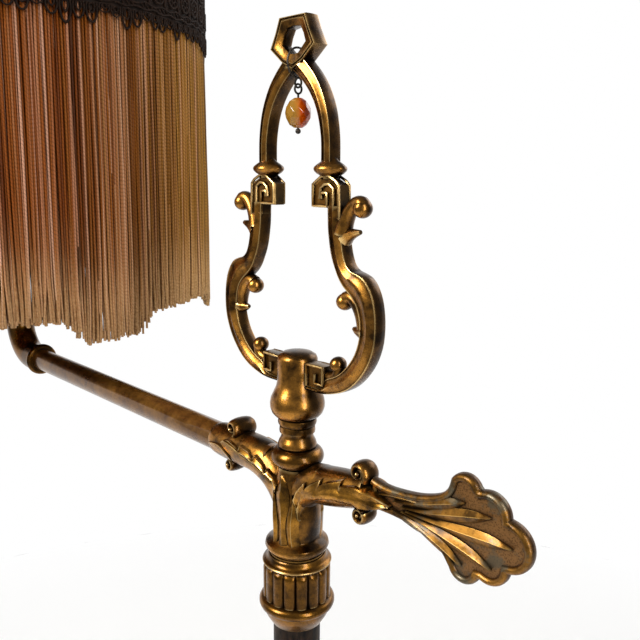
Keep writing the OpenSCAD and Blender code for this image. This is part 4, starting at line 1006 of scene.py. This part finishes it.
def fan_outline():
    """The palmette's outline: a waisted stalk and five round lobes at its end."""
    points = [(p.x, p.y) for line in (HANDLE_TOP, HANDLE_LOW) for p in smooth(flat_points(line), 4)]
    first = math.atan2(HANDLE_LOW[-1][1] - FAN_EYE[1], HANDLE_LOW[-1][0] - FAN_EYE[0])
    last = math.atan2(HANDLE_TOP[0][1] - FAN_EYE[1], HANDLE_TOP[0][0] - FAN_EYE[0])
    rays = 84
    for k in range(1, rays):
        a = first + (last - first) * k / rays
        way, reach = Vector((math.cos(a), math.sin(a))), 0.0
        for x, z, r in LOBES:
            to = Vector((x - FAN_EYE[0], z - FAN_EYE[1]))
            chord = r * r - to.length_squared + to.dot(way) ** 2
            if chord > 0:
                reach = max(reach, to.dot(way) + math.sqrt(chord))
        points.append((FAN_EYE[0] + reach * way.x, FAN_EYE[1] + reach * way.y))
    return [(x, HANDLE_UP + z) for x, z in points]


def palm_leaf(points, width, lift):
    """A leaf on the sunk field, along a middle line from its root to its pointed tip."""
    line = along(smooth(flat_points([(x, HANDLE_UP + z) for x, z in points]), 5), LEAF_RINGS)
    edges = ([], [])
    for k, p in enumerate(line):
        t = k / (LEAF_RINGS - 1)
        way = (line[min(k + 1, LEAF_RINGS - 1)] - line[max(k - 1, 0)]).normalized()
        if t < LEAF_WIDEST:
            share = LEAF_ROOT + (1 - LEAF_ROOT) * math.sin(math.pi / 2 * t / LEAF_WIDEST) ** 2.2
        else:
            share = math.cos(math.pi / 2 * (t - LEAF_WIDEST) / (1 - LEAF_WIDEST)) ** 0.8
        off = Vector((-way.y, way.x, 0)) * max(width / 2 * share, 0.12)
        for edge, side in zip(edges, (-1, 1)):
            q = p + side * off
            edge.append((q.x, q.y))
    section = [(u, h * lift) for u, h in LEAF_SECTION]
    return strap("palm_leaf", edges[0], edges[1], section, lambda x, z: FIELD, steps=1)


def build_handle():
    """The palmette: a rounded rim round a recessed field with seven leaves."""
    body = plate("palmette", fan_outline(), RIM_LEVELS)
    leaves = [palm_leaf(points, width, lift) for points, width, lift in PALM_LEAVES]
    handle = join("palmette", [body] + both_sides([join("leaves", leaves)]), angle=50)
    dress(handle, finish_of("worn_gold"), "arm", "worn_gold", "palmette_handle")


# ---- base ------------------------------------------------------------------------------------

FOOT_H = 14.0
# The cast disc's upper face: radius and height
BASE_CURVE = [(133, FOOT_H + 1), (126, FOOT_H + 3), (97.2, 27.3), (64.4, 36), (42.9, 47.7)]
PETALS = 16
PETAL_LINE = [(52, 6.0), (58, 10.5), (70, 15), (84, 18.5), (98, 20), (108, 17), (114, 10),
              (117, 1.0)]    # radius from the column, half width
# Across half a petal from its middle: place and height, with a rib, a hollow and a raised rim
PETAL_SECTION = [(0, 1.2), (0.12, 0.7), (0.35, 0.6), (0.68, 0.5), (0.8, 1.3), (0.9, 1.4),
                 (0.98, 0.7), (1, -1.2)]
STUDS = 90                  # beads round the foot
STUD_R = 2.6
STUD_AT = (129.6, FOOT_H + 2.0)
FELT = [(31, 1.5), (31, 0.3), (31.6, 0.0), (139.4, 0.0), (140, 0.5), (140, 1.5), (139.4, 1.96),
        (34, 1.96)]


def base_surface(r):
    """Height of the cast base at a radius from the column."""
    line = smooth([(x, z, 0) for x, z in BASE_CURVE], 6)
    for a, b in zip(line, line[1:]):
        if b.x <= r <= a.x:
            return b.y + (a.y - b.y) * (r - b.x) / (a.x - b.x)
    return line[-1].y


def build_petal():
    """One petal that follows the base's curve."""
    section = [(-u, h) for u, h in PETAL_SECTION[:0:-1]] + PETAL_SECTION
    rings = []
    for p in smooth([(r, half, 0) for r, half in PETAL_LINE], 3):
        r, half, z = p.x, max(p.y, 0.4), base_surface(p.x)
        rings.append([(r * math.cos(u * half / r), r * math.sin(u * half / r), z + lift)
                      for u, lift in section])
    return loft("petal", rings)


def build_base():
    """Sixteen broad petals with raised rims on the cast base, a beaded foot and the felt disc."""
    petal = build_petal()
    relief = []
    for k in range(PETALS):
        activate(petal)
        bpy.ops.object.duplicate()
        twin = bpy.context.active_object
        edit(twin)
        bpy.ops.transform.rotate(value=2 * math.pi * k / PETALS, orient_axis="Z",
                                 center_override=(0, 0, 0))
        bpy.ops.object.mode_set(mode="OBJECT")
        relief.append(twin)
    bpy.data.objects.remove(petal)
    for a in (2 * math.pi * k / STUDS for k in range(STUDS)):
        deselect()
        at = Vector((STUD_AT[0] * math.cos(a), STUD_AT[0] * math.sin(a), STUD_AT[1])) * MM
        bpy.ops.mesh.primitive_ico_sphere_add(subdivisions=2, radius=STUD_R * MM, location=at)
        bpy.ops.object.transform_apply(location=True, rotation=True, scale=True)
        relief.append(bpy.context.active_object)
    dress(join("base_relief", relief, angle=40), finish_of("bronze"), "column", "bronze_casting")
    felt = join("felt_disc", [turned("felt", FELT, steps=96, cap=False)], angle=30)
    dress(felt, finish_of("felt"), "column", "felt", "base_felt", wear=False)


# ---- fluted cup ------------------------------------------------------------------------------

CUP_Z = 1089.5              # middle of the cup's lip
REEDS = 16
REED_STEPS = 12             # points round each reed
REED_RISE = 1.75            # how far a reed stands out of its groove
REED_FOOT = 2.5             # heights above the lip's middle
REED_TOP = 18.2
REED_ROUND = 0.14           # share of its height over which a reed's top is rounded
CUP_R = 15.0
# Below, round and above the reeds: radius and height above the lip's middle
CUP_LEVELS = [(11.4, -10), (12.4, -8.4), (13.6, -6.4), (14.6, -4.2), (15.0, -2.6)]
LIP_LEVELS = [(15.6, -2.3), (16.4, -1.7), (16.8, -0.6), (16.8, 0.5), (16.3, 1.5), (15.5, 2.1),
              (14.7, 2.3), (14.3, 2.5)]
SHOULDER_LEVELS = [(14.6, 18.6), (15.1, 18.9), (15.3, 19.5), (15.0, 20.0), (14.2, 20.3),
                   (13.4, 20.9), (13.0, 21.8), (12.9, 22.5), (12.5, 22.9), (10.5, 23.0),
                   (5.4, 23.0)]


def reed_radius(a, t):
    """Radius of the reeded wall at an angle, and at a share t of the reeds' height."""
    past = max(t - 1 + REED_ROUND, 0) / REED_ROUND
    end = math.sqrt(max(1 - past ** 2, 0))
    across = abs((a * REEDS / (2 * math.pi)) % 1 - 0.5) * 2
    swell = math.sqrt(max(1 - (across * 0.99) ** 2.6, 0))
    return CUP_R - REED_RISE + REED_RISE * swell * end + 0.35 * (1 - end)


def build_cup():
    """The cup under the bracket: lip, sixteen rounded reeds and a hollow shoulder."""
    steps = REEDS * REED_STEPS
    turn = [2 * math.pi * k / steps for k in range(steps)]
    rings = [[(r * math.cos(a), r * math.sin(a), CUP_Z + z) for a in turn]
             for r, z in CUP_LEVELS + LIP_LEVELS]
    for t in (k / 16 for k in range(17)):
        z = CUP_Z + REED_FOOT + (REED_TOP - REED_FOOT) * t
        rings.append([(reed_radius(a, t) * math.cos(a), reed_radius(a, t) * math.sin(a), z)
                      for a in turn])
    rings += [[(r * math.cos(a), r * math.sin(a), CUP_Z + z) for a in turn]
              for r, z in SHOULDER_LEVELS]
    cup = join("cup", [loft("cup", rings)], angle=42)
    dress(cup, finish_of("antique_brass"), "column", "antique_brass", "fluted_cup")


# ---- silk shade and harp ---------------------------------------------------------------------

CROWN_Z = 1485.0            # top ring of the crown
CROWN_R = 62.0
CROWN_SAG = 10.78           # how far the crown's arc is hollow at its middle
PLEATS = 112
SKIRT_MIDDLE = 1374.0


def crown_radius(t):
    """Radius of the silk between the skirt (0) and the top ring (1), a hollow arc."""
    return SHADE_R + (CROWN_R - SHADE_R) * t - CROWN_SAG * 4 * t * (1 - t)


def build_silk():
    """Gathered silk over the crown's wires and behind the lace."""
    steps = PLEATS * 4
    turn = [2 * math.pi * k / steps for k in range(steps)]
    draws = np.random.default_rng(11)
    wobble = draws.uniform(0, 2 * np.pi, 5)
    rings = []
    levels = 15
    for back in (0, 1):
        for j in range(levels):
            t = j / (levels - 1)
            if back:
                t = 1 - t
            base = crown_radius(t) - 0.5 - (0.45 if back else 0.0)
            deep = 0.55 + 0.75 * (1 - t)    # the pleats are deepest at the skirt
            ring = []
            for k, a in enumerate(turn):
                drift = 0.35 * math.sin(3 * a + wobble[0]) + 0.25 * math.sin(7 * a + wobble[1])
                fold = math.cos(PLEATS * a + drift * 6 * t)
                fold += 0.35 * math.sin(PLEATS / 2 * a + wobble[2] + 4 * t)
                r = base + deep * 0.42 * (fold - 0.9)
                ring.append((SHADE_X + r * math.cos(a), r * math.sin(a),
                             SKIRT_Z + 0.4 + (CROWN_Z - SKIRT_Z - 0.4) * t))
            rings.append(ring)
    crown = join("silk_crown", [loft("silk", rings, closed=True)], angle=60)
    dress(crown, finish_of("silk"), "shade", "silk", "shade_fabric", wear=False)
    skirt_rings = []
    heights = (RIM_Z, SKIRT_MIDDLE, SKIRT_Z)
    levels = [(SHADE_R - 0.1, z) for z in heights] + [(SHADE_R - 0.8, z) for z in heights[::-1]]
    for r, z in levels:
        ring = []
        for a in turn:
            reach = r - 0.12 * (1 + math.cos(PLEATS * a))
            ring.append((SHADE_X + reach * math.cos(a), reach * math.sin(a), z))
        skirt_rings.append(ring)
    skirt = join("silk_skirt", [loft("skirt", skirt_rings, closed=True)], angle=60)
    dress(skirt, finish_of("lining"), "shade", "silk", "skirt_fabric", wear=False)


# ---- fringe and lace -----------------------------------------------------------------------

YARN_RINGS = 9
YARN_SIDES = 4
YARN_STEP = 10.0            # between the rings, and between the yarns, before they are placed
TONGUE_AT = 2.0             # degrees from X to the middle of the first tongue
TONGUE_HALF = 6.5           # degrees from a tongue's middle to where its edge starts to rise
TONGUE_RISE = 7.0           # degrees over which it rises


def scallop(angle, count, depth):
    """How far the fringe's lower edge rises at an angle: long tongues with arches between."""
    period = 360 / count
    off = abs((math.degrees(angle) - TONGUE_AT + period / 2) % period - period / 2)
    t = min(max((off - TONGUE_HALF) / TONGUE_RISE, 0), 1)
    return depth * t * t * (3 - 2 * t)


def build_fringe(sizes):
    """Hanging yarns. One is extruded, copied in rows and then bent, twisted and cut to length."""
    draws = np.random.default_rng(7)
    per_row = int(2 * math.pi * SHADE_R / (sizes.yarn_gap / MM))
    for layer in range(sizes.yarn_rows):
        rings = [[(math.cos(a), math.sin(a), -YARN_STEP * j)
                  for a in (math.pi / 2 * k for k in range(YARN_SIDES))]
                 for j in range(YARN_RINGS)]
        yarn = loft(f"fringe_row_{layer + 1}", rings)
        copy_in_row(yarn, per_row, YARN_STEP)
        co = points_of(yarn).reshape(per_row, -1, 3)
        ring = np.rint(co[0, :, 2] / -YARN_STEP).astype(int)
        side = co[0, :, :2]
        t = ring / (YARN_RINGS - 1)
        share = (np.arange(per_row) + 0.25 * layer + 0.3 * draws.uniform(-1, 1, per_row)) / per_row
        angle = 2 * np.pi * share
        radius = SHADE_R - 0.6 - 0.8 * layer + 0.25 * draws.uniform(-1, 1, per_row)
        low = np.array([scallop(a, sizes.scallops, sizes.scallop_depth / MM) for a in angle])
        low = FRINGE_Z + low + 2.4 * np.abs(draws.normal(0, 1, per_row)) + 0.6 * layer
        top = RIM_Z + 3.0
        lean = draws.normal(0, 0.55, per_row)
        wave = draws.uniform(0, 2 * np.pi, per_row)
        swell = draws.normal(0, 0.25, per_row)
        thick = sizes.yarn / 2 / MM * draws.uniform(0.86, 1.12, per_row)
        z = top + (low - top)[:, None] * t
        tip = np.clip((t - 0.9) / 0.1, 0, 1)
        fat = thick[:, None] * (1 + 0.25 * tip)
        stray = draws.normal(0, 0.9, per_row)[:, None] * np.clip((t - 0.85) / 0.15, 0, 1)
        shift = (lean[:, None] - 2.5) * t + 0.35 * np.sin(wave[:, None] + 5.0 * t) * t + stray
        out = radius[:, None] + swell[:, None] * t + 0.25 * np.sin(wave[:, None] * 2 + 7 * t)
        out = out + 0.36 * np.sin(np.pi * t)
        phi = angle[:, None] + (shift + side[:, 0] * fat) / SHADE_R
        reach = out + side[:, 1] * fat
        points = np.stack([SHADE_X + reach * np.cos(phi), reach * np.sin(phi), z], axis=-1)
        move_points(yarn, points)
        tone = np.clip(0.5 + 0.22 * draws.normal(0, 1, per_row), 0, 1)
        # the dye has faded unevenly: pinkish on one side of the shade, golden on the other
        fade = np.clip(0.5 - 1.1 * np.sin(angle - 0.26) + 0.12 * draws.normal(0, 1, per_row), 0, 1)
        for name, value in (("tone", np.repeat(tone[:, None], co.shape[1], 1)),
                            ("fade", np.repeat(fade[:, None], co.shape[1], 1)),
                            ("across", np.repeat(side[None, :, 0], per_row, 0)),
                            ("tip", np.repeat(np.clip((t - 0.72) / 0.28, 0, 1)[None], per_row, 0)),
                            ("turn", np.repeat(wave[:, None], co.shape[1], 1))):
            field = yarn.data.attributes.new(name, "FLOAT", "POINT")
            field.data.foreach_set("value", value.ravel())
        bpy.ops.object.shade_smooth()
        dress(yarn, finish_of("rayon"), "shade", "fringe", wear=False)
    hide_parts("fringe")


LACE_OUT = SHADE_R + 1.1     # radius of the lace's middle
LACE_PITCH = 14.0            # distance from one motif to the next
WHEEL_Z = 15.5               # middle of a motif's wheel
# Threads along the band: height and how far they bow
LONG_THREADS = ((29.6, 0.5), (27.2, -0.5), (23.6, 0.7), (8.4, -0.7), (5.6, 0.6), (3.4, -0.4))
LOOPS_Z = 3                  # below this height the threads hang loose


def on_wheel(radius, a):
    """A point of the wheel, at an angle round its middle."""
    return (radius * math.cos(a), WHEEL_Z + radius * math.sin(a))


def lace_motif():
    """One repeat of the crochet, flat: X along the band, Z up, Y out."""
    parts = []

    def thread(points, radius=0.55, closed=False, y=0.0, steps=4):
        line = [Vector((p.x, y, p.y)) for p in smooth([(x, z, 0) for x, z in points], steps,
                                                      closed)]
        parts.append(tube("thread", line, radius, sides=6, closed=closed))

    half = LACE_PITCH / 2
    wheel = [on_wheel(4.9, 2 * math.pi * k / 14) for k in range(14)]
    thread(wheel, 0.8, closed=True, y=-0.3, steps=2)
    hub = [on_wheel(2.0, 2 * math.pi * k / 8) for k in range(8)]
    thread(hub, 0.6, closed=True, y=-0.3, steps=2)
    for a in (2 * math.pi * (k + 0.5) / 8 for k in range(8)):
        thread([on_wheel(1.9, a), on_wheel(4.8, a)], 0.45, y=-0.3, steps=1)
    for z, bow in LONG_THREADS:
        thread([(-half, z), (-half / 2, z + bow), (0, z), (half / 2, z - bow), (half, z)], 0.62)
    for x in (-half, -half / 2, 0, half / 2):
        thread([(x, 30), (x + 1.2, 28.6), (x + 2.4, 27.2)], 0.5, y=0.2)
        thread([(x + 2.4, 27.0), (x + 1.0, 25.4), (x + 0.2, 23.6)], 0.5, y=0.2)
        thread([(x, 8.4), (x + 1.6, 7.0), (x + 2.6, 5.6)], 0.5, y=0.2)
    thread([(-half, 23.4), (-6.3, 19.5), (-half, 15.5), (-6.3, 11.5), (-half, 8.6)], 0.7)
    thread([(half, 23.4), (6.2, 19.5), (half, 15.5), (6.2, 11.5), (half, 8.6)], 0.7)
    for x in (-3.5, 3.5):
        thread([(x - 2.6, 3.6), (x - 2.9, -0.8), (x - 1.7, -4.6), (x, -5.8), (x + 1.7, -4.6),
                (x + 2.9, -0.8), (x + 2.6, 3.6)], 0.6, y=-0.5)
        thread([(x - 1.2, 3.4), (x - 1.4, 0.4), (x, -1.6), (x + 1.4, 0.4), (x + 1.2, 3.4)],
               0.5, y=-0.7)
    return join("lace", parts)


def build_lace():
    """The crocheted band round the skirt, one motif repeated and wrapped round the shade."""
    band = lace_motif()
    count = round(2 * math.pi * LACE_OUT / LACE_PITCH)
    copy_in_row(band, count, LACE_PITCH)
    co = points_of(band)
    angle = co[:, 0] * 2 * np.pi / (count * LACE_PITCH)
    sway = 0.35 * np.sin(11 * angle) + 0.25 * np.sin(29 * angle + 1)
    # the loops along the lower edge have pulled to different lengths
    loop = np.floor(angle * count / math.pi).astype(int) % (2 * count)
    pull = np.random.default_rng(3).uniform(0.35, 1.3, 2 * count)[loop]
    loose = co[:, 2] < LOOPS_Z
    co[:, 2] = np.where(loose, LOOPS_Z + (co[:, 2] - LOOPS_Z) * pull, co[:, 2])
    reach = LACE_OUT - co[:, 1] + sway * (co[:, 2] < LOOPS_Z)
    points = np.stack([SHADE_X + reach * np.cos(angle), reach * np.sin(angle),
                       RIM_Z + co[:, 2] + 0.5 * sway], axis=-1)
    move_points(band, points)
    band.name = band.data.name = "lace_braid"
    dress(band, finish_of("lace"), "shade", "lace", "lace_band", wear=False)


# ---- stage ---------------------------------------------------------------------------------

CAMERA_AT = (0.220, -0.201, 1.277)
CAMERA_AZIMUTH = math.radians(45.8)
CAMERA_DOWN = math.radians(11.5)
CAMERA_ROLL = math.radians(0.5)
LENS = 41.2                 # on a 36 mm sensor
WORLD_LEVEL = 0.28
FLOOR_R = 2.2               # metres, of the floor and of the curved wall
WALL_H = 2.8
WALL_HALF = math.radians(80)
# Lamps of the stage: name, place, aim, size and watts
LAMPS = [("Window", (-0.5, -1.5, 2.3), (-0.05, 0, 1.25), (0.7, 1.1), 54),
         ("Side", (1.5, -0.3, 1.7), (0, 0, 1.2), (0.35, 1.6), 22),
         ("Back", (0.2, 1.7, 2.2), (0, 0, 1.2), (1.4, 0.8), 10)]


def add_camera():
    """The camera where the photographer stood."""
    data = bpy.data.cameras.new("Camera")
    data.sensor_width = 36.0
    data.lens = LENS
    data.clip_start = 0.01
    camera = bpy.data.objects.new("Camera", data)
    bpy.context.scene.collection.objects.link(camera)
    sin_a, cos_a = math.sin(CAMERA_AZIMUTH), math.cos(CAMERA_AZIMUTH)
    cos_e, sin_e = math.cos(CAMERA_DOWN), math.sin(CAMERA_DOWN)
    back = Vector((sin_a * cos_e, -cos_a * cos_e, sin_e))
    right = Vector((cos_a, sin_a, 0))
    up = back.cross(right)
    sin_r, cos_r = math.sin(CAMERA_ROLL), math.cos(CAMERA_ROLL)
    right, up = cos_r * right + sin_r * up, cos_r * up - sin_r * right
    turn = Matrix((right, up, back)).transposed().to_4x4()
    camera.matrix_world = Matrix.Translation(CAMERA_AT) @ turn
    bpy.context.scene.camera = camera


def add_lamp(name, at, aim, size, power):
    """A lamp with a soft rectangular face, turned to what it lights."""
    data = bpy.data.lights.new(name, "AREA")
    data.shape = "RECTANGLE"
    data.size, data.size_y = size
    data.energy = power
    lamp = bpy.data.objects.new(name, data)
    bpy.context.scene.collection.objects.link(lamp)
    lamp.location = at
    lamp.rotation_euler = (Vector(aim) - Vector(at)).to_track_quat("-Z", "Y").to_euler()


def add_world():
    """The room round the stage, an even soft light on the lamp."""
    world = bpy.data.worlds.new("Studio")
    bpy.context.scene.world = world
    world.use_nodes = True
    world.node_tree.nodes["Background"].inputs["Color"].default_value = (1, 1, 1, 1)
    world.node_tree.nodes["Background"].inputs["Strength"].default_value = WORLD_LEVEL


def stage_material(name, fade=None, one_sided=False):
    """Pale paint that is plain white to the eye, in metal and in glass: all over, or past fade."""
    material, tree, place = new_material(name)
    paint = add(tree, "BsdfPrincipled", Base_Color="#f4f3f1", Roughness=0.9,
                Specular_IOR_Level=0.1)
    rays = [add(tree, "LightPath", out=f"Is {kind} Ray")
            for kind in ("Camera", "Transmission", "Glossy")]
    share = add(tree, "Math", rays[0], rays[1], operation="MAXIMUM")
    share = add(tree, "Math", share, rays[2], operation="MAXIMUM")
    if fade:
        away = add(tree, "VectorMath", place, operation="LENGTH", out="Value")
        edge = add(tree, "MapRange", away, From_Min=fade[0], From_Max=fade[1])
        share = add(tree, "Math", share, edge, operation="MULTIPLY")
    white = add(tree, "Emission", Color="#ffffff", Strength=1.0)
    paint = add(tree, "MixShader", share, paint, white)
    if one_sided:
        # a camera that stands outside looks through it, so it hides the lamp from no side
        behind = add(tree, "NewGeometry", out="Backfacing")
        paint = add(tree, "MixShader", behind, paint, add(tree, "BsdfTransparent"))
    add(tree, "OutputMaterial", paint)
    return material


def add_floor():
    """A pale floor that keeps the lamp's shadow and fades into the white wall behind it."""
    deselect()
    bpy.ops.mesh.primitive_circle_add(vertices=96, radius=FLOOR_R, fill_type="NGON")
    floor = bpy.context.active_object
    floor.name = "floor"
    floor.data.materials.append(stage_material("Pale studio floor", (FLOOR_R * 0.4, FLOOR_R)))


def add_wall():
    """A curved white wall across from the camera."""
    deselect()
    bpy.ops.mesh.primitive_grid_add(x_subdivisions=30, y_subdivisions=1, size=2)
    wall = bpy.context.active_object
    wall.name = "wall"
    for vert in wall.data.vertices:
        a = CAMERA_AZIMUTH + math.pi / 2 - WALL_HALF * vert.co.x
        vert.co = (FLOOR_R * math.cos(a), FLOOR_R * math.sin(a), WALL_H / 2 * (vert.co.y + 1))
    wall.data.materials.append(stage_material("White studio wall", one_sided=True))


def build_stage():
    """Camera, soft light, floor and wall."""
    bpy.context.scene.view_settings.view_transform = "Standard"
    add_camera()
    add_world()
    for name, at, aim, size, power in LAMPS:
        add_lamp(name, at, aim, size, power)
    add_floor()
    add_wall()


# Finish of every CAD node, also of those that a piece of this file stands for
NODE_FINISHES = {
    "bronze": ("base_casting",),
    "felt": ("base_felt",),
    "iron": ("base_ballast",),
    "steel": ("ballast_washer", "base_locknut", "center_pipe", "socket_nipple"),
    "phenolic": ("cord_bushing", "switch_key"),
    "antique_brass": ("base_collar", "turned_break", "fluted_cup", "bracket", "bracket_collar",
                      "handle_screw", "arm_elbow", "socket_cup", "shade_knob", "finial_frame"),
    "shaft": ("lower_shaft", "upper_shaft"),
    "bright": ("swivel_washer", "swivel_bushing", "harp_saddle", "socket_cap", "socket_shell",
               "screw_shell", "harp"),
    "arm": ("arm_tube", "riser_tube"),
    "worn_gold": ("palmette_handle",),
    "fibre": ("socket_liner",),
    "bulb_cap": ("bulb_base",),
    "bulb": ("bulb_glass",),
    "tape": ("shade_frame", "shade_spider"),
    "silk": ("shade_fabric", "skirt_fabric"),
    "lace": ("lace_band",),
    "rayon": ("fringe",),
    "wire": ("pendant_hook", "pendant_link"),
    "bead": ("pendant_bead",),
}


def finish_nodes():
    """Gives the CAD nodes their finishes."""
    for finish, nodes in NODE_FINISHES.items():
        for node in nodes:
            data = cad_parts[node].data
            data.materials.clear()
            data.materials.append(finish_of(finish))


# ---- add-on --------------------------------------------------------------------------------

def colour_property(name, description, hex_colour):
    """A colour setting with its default as sRGB hex."""
    return FloatVectorProperty(name=name, description=description, subtype="COLOR", size=4,
                               min=0.0, max=1.0, default=linear(hex_colour))


class LampColours(bpy.types.PropertyGroup):
    """Colours of the lamp's finishes."""
    # recesses: dark lacquer and dirt, and also the painted shade in the hollows and on the castings'
    # side faces
    recess_dirt_and_shade: colour_property("Recesses", "Dark lacquer and dirt in the castings' hollows",
                            "#150c05")
    brass: colour_property("Antique brass", "Gilt lacquer on the turned pieces", "#84581a")
    # castings: lighter than the turned brass, a painted highlight on their faces
    cast: colour_property("Castings, painted lighter as highlight", "Gilt lacquer on the castings' faces", "#b27a30")
    # leaves: lighter again, a painted highlight on the acanthus
    leaf: colour_property("Leaves", "Gilt lacquer on the acanthus leaves", "#bd842f")
    palmette: colour_property("Palmette", "Gilt lacquer on the handle", "#97692a")
    # edges: rubbed metal and also a painted highlight
    worn: colour_property("Worn edges", "Bright metal where the lacquer is rubbed off",
                          "#dcb878")
    yarn: colour_property("Fringe, golden", "Middle tone of the fringe's golden yarns", "#805612")
    yarn_pink: colour_property("Fringe, faded", "Light tone of its faded yarns", "#ac7454")
    yarn_tip: colour_property("Fringe ends", "Frayed ends of the yarns", "#c9a170")
    silk: colour_property("Silk", "Silk of the shade's crown", "#b48a5a")
    bead_pale: colour_property("Bead, honey side", "Pale side of the glass bead", "#93681f")
    bead_deep: colour_property("Bead, orange side", "Deep side of the glass bead", "#b44202")


class LampSizes(bpy.types.PropertyGroup):
    """Sizes of the sewn and cast detail."""
    yarn: FloatProperty(name="Yarn", description="Thickness of one fringe yarn", default=0.0015,
                        min=0.0008, max=0.004, unit="LENGTH", precision=4)
    yarn_gap: FloatProperty(name="Yarn spacing", description="Distance between yarns of one row",
                            default=0.0016, min=0.001, max=0.006, unit="LENGTH", precision=4)
    yarn_rows: IntProperty(name="Yarn rows", description="Rows of yarns, one behind another",
                           default=4, min=1, max=6)
    scallops: IntProperty(name="Scallops", description="Long tongues round the fringe's edge",
                          default=6, min=4, max=16)
    scallop_depth: FloatProperty(name="Scallop depth", description="Rise of the arches between",
                                 default=0.013, min=0.0, max=0.03, unit="LENGTH", precision=4)


class LAMP_OT_finishes(bpy.types.Operator):
    """Makes the materials and gives the CAD nodes theirs"""
    bl_idname = "lamp.finishes"
    bl_label = "Finishes"

    def execute(self, context):
        make_finishes(context.scene.lamp_colours)
        finish_nodes()
        return {"FINISHED"}


class LAMP_OT_stage(bpy.types.Operator):
    """Adds the camera, the studio light and the floor"""
    bl_idname = "lamp.stage"
    bl_label = "Stage"

    def execute(self, context):
        build_stage()
        return {"FINISHED"}


class LAMP_OT_finial(bpy.types.Operator):
    """Builds the pierced finial and its spindle"""
    bl_idname = "lamp.finial"
    bl_label = "Finial"

    def execute(self, context):
        build_finial()
        return {"FINISHED"}


class LAMP_OT_pendant(bpy.types.Operator):
    """Builds the hanging bead with its wires"""
    bl_idname = "lamp.pendant"
    bl_label = "Pendant"

    def execute(self, context):
        build_pendant()
        return {"FINISHED"}


class LAMP_OT_bracket(bpy.types.Operator):
    """Builds the bracket with its leaves and scrolls"""
    bl_idname = "lamp.bracket"
    bl_label = "Bracket"

    def execute(self, context):
        build_bracket()
        return {"FINISHED"}


class LAMP_OT_handle(bpy.types.Operator):
    """Builds the palmette handle"""
    bl_idname = "lamp.handle"
    bl_label = "Palmette handle"

    def execute(self, context):
        build_handle()
        return {"FINISHED"}


class LAMP_OT_cup(bpy.types.Operator):
    """Builds the reeded cup under the bracket"""
    bl_idname = "lamp.cup"
    bl_label = "Reeded cup"

    def execute(self, context):
        build_cup()
        return {"FINISHED"}


class LAMP_OT_base(bpy.types.Operator):
    """Builds the petals and beads of the base and its felt"""
    bl_idname = "lamp.base"
    bl_label = "Base"

    def execute(self, context):
        build_base()
        return {"FINISHED"}


class LAMP_OT_silk(bpy.types.Operator):
    """Builds the gathered silk of the shade"""
    bl_idname = "lamp.silk"
    bl_label = "Silk"

    def execute(self, context):
        build_silk()
        return {"FINISHED"}


class LAMP_OT_fringe(bpy.types.Operator):
    """Builds the fringe's yarns"""
    bl_idname = "lamp.fringe"
    bl_label = "Fringe"

    def execute(self, context):
        build_fringe(context.scene.lamp_sizes)
        return {"FINISHED"}


class LAMP_OT_lace(bpy.types.Operator):
    """Builds the crocheted band over the skirt"""
    bl_idname = "lamp.lace"
    bl_label = "Lace"

    def execute(self, context):
        build_lace()
        return {"FINISHED"}


STEPS = (LAMP_OT_stage, LAMP_OT_finishes, LAMP_OT_finial, LAMP_OT_pendant, LAMP_OT_bracket,
         LAMP_OT_handle, LAMP_OT_cup, LAMP_OT_base, LAMP_OT_silk, LAMP_OT_fringe, LAMP_OT_lace)


class LAMP_PT_pieces(bpy.types.Panel):
    """Sizes, colours and pieces of the lamp"""
    bl_idname = "LAMP_PT_pieces"
    bl_label = "Bridge floor lamp"
    bl_space_type = "VIEW_3D"
    bl_region_type = "UI"
    bl_category = "Lamp"

    def draw(self, context):
        for group in (context.scene.lamp_sizes, context.scene.lamp_colours):
            for name in group.__annotations__:
                self.layout.prop(group, name)
        for step in STEPS:
            self.layout.operator(step.bl_idname)


CLASSES = (LampColours, LampSizes, LAMP_PT_pieces) + STEPS


def register():
    """Adds the classes and the settings that the scene holds."""
    for cls in CLASSES:
        bpy.utils.register_class(cls)
    bpy.types.Scene.lamp_colours = PointerProperty(type=LampColours)
    bpy.types.Scene.lamp_sizes = PointerProperty(type=LampSizes)


def unregister():
    """Takes them out again."""
    del bpy.types.Scene.lamp_colours
    del bpy.types.Scene.lamp_sizes
    for cls in reversed(CLASSES):
        bpy.utils.unregister_class(cls)


def main():
    """Registers the add-on and builds everything."""
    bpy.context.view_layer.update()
    register()
    for step in STEPS:
        group, name = step.bl_idname.split(".")
        getattr(getattr(bpy.ops, group), name)()


if __name__ == "__main__":
    main()
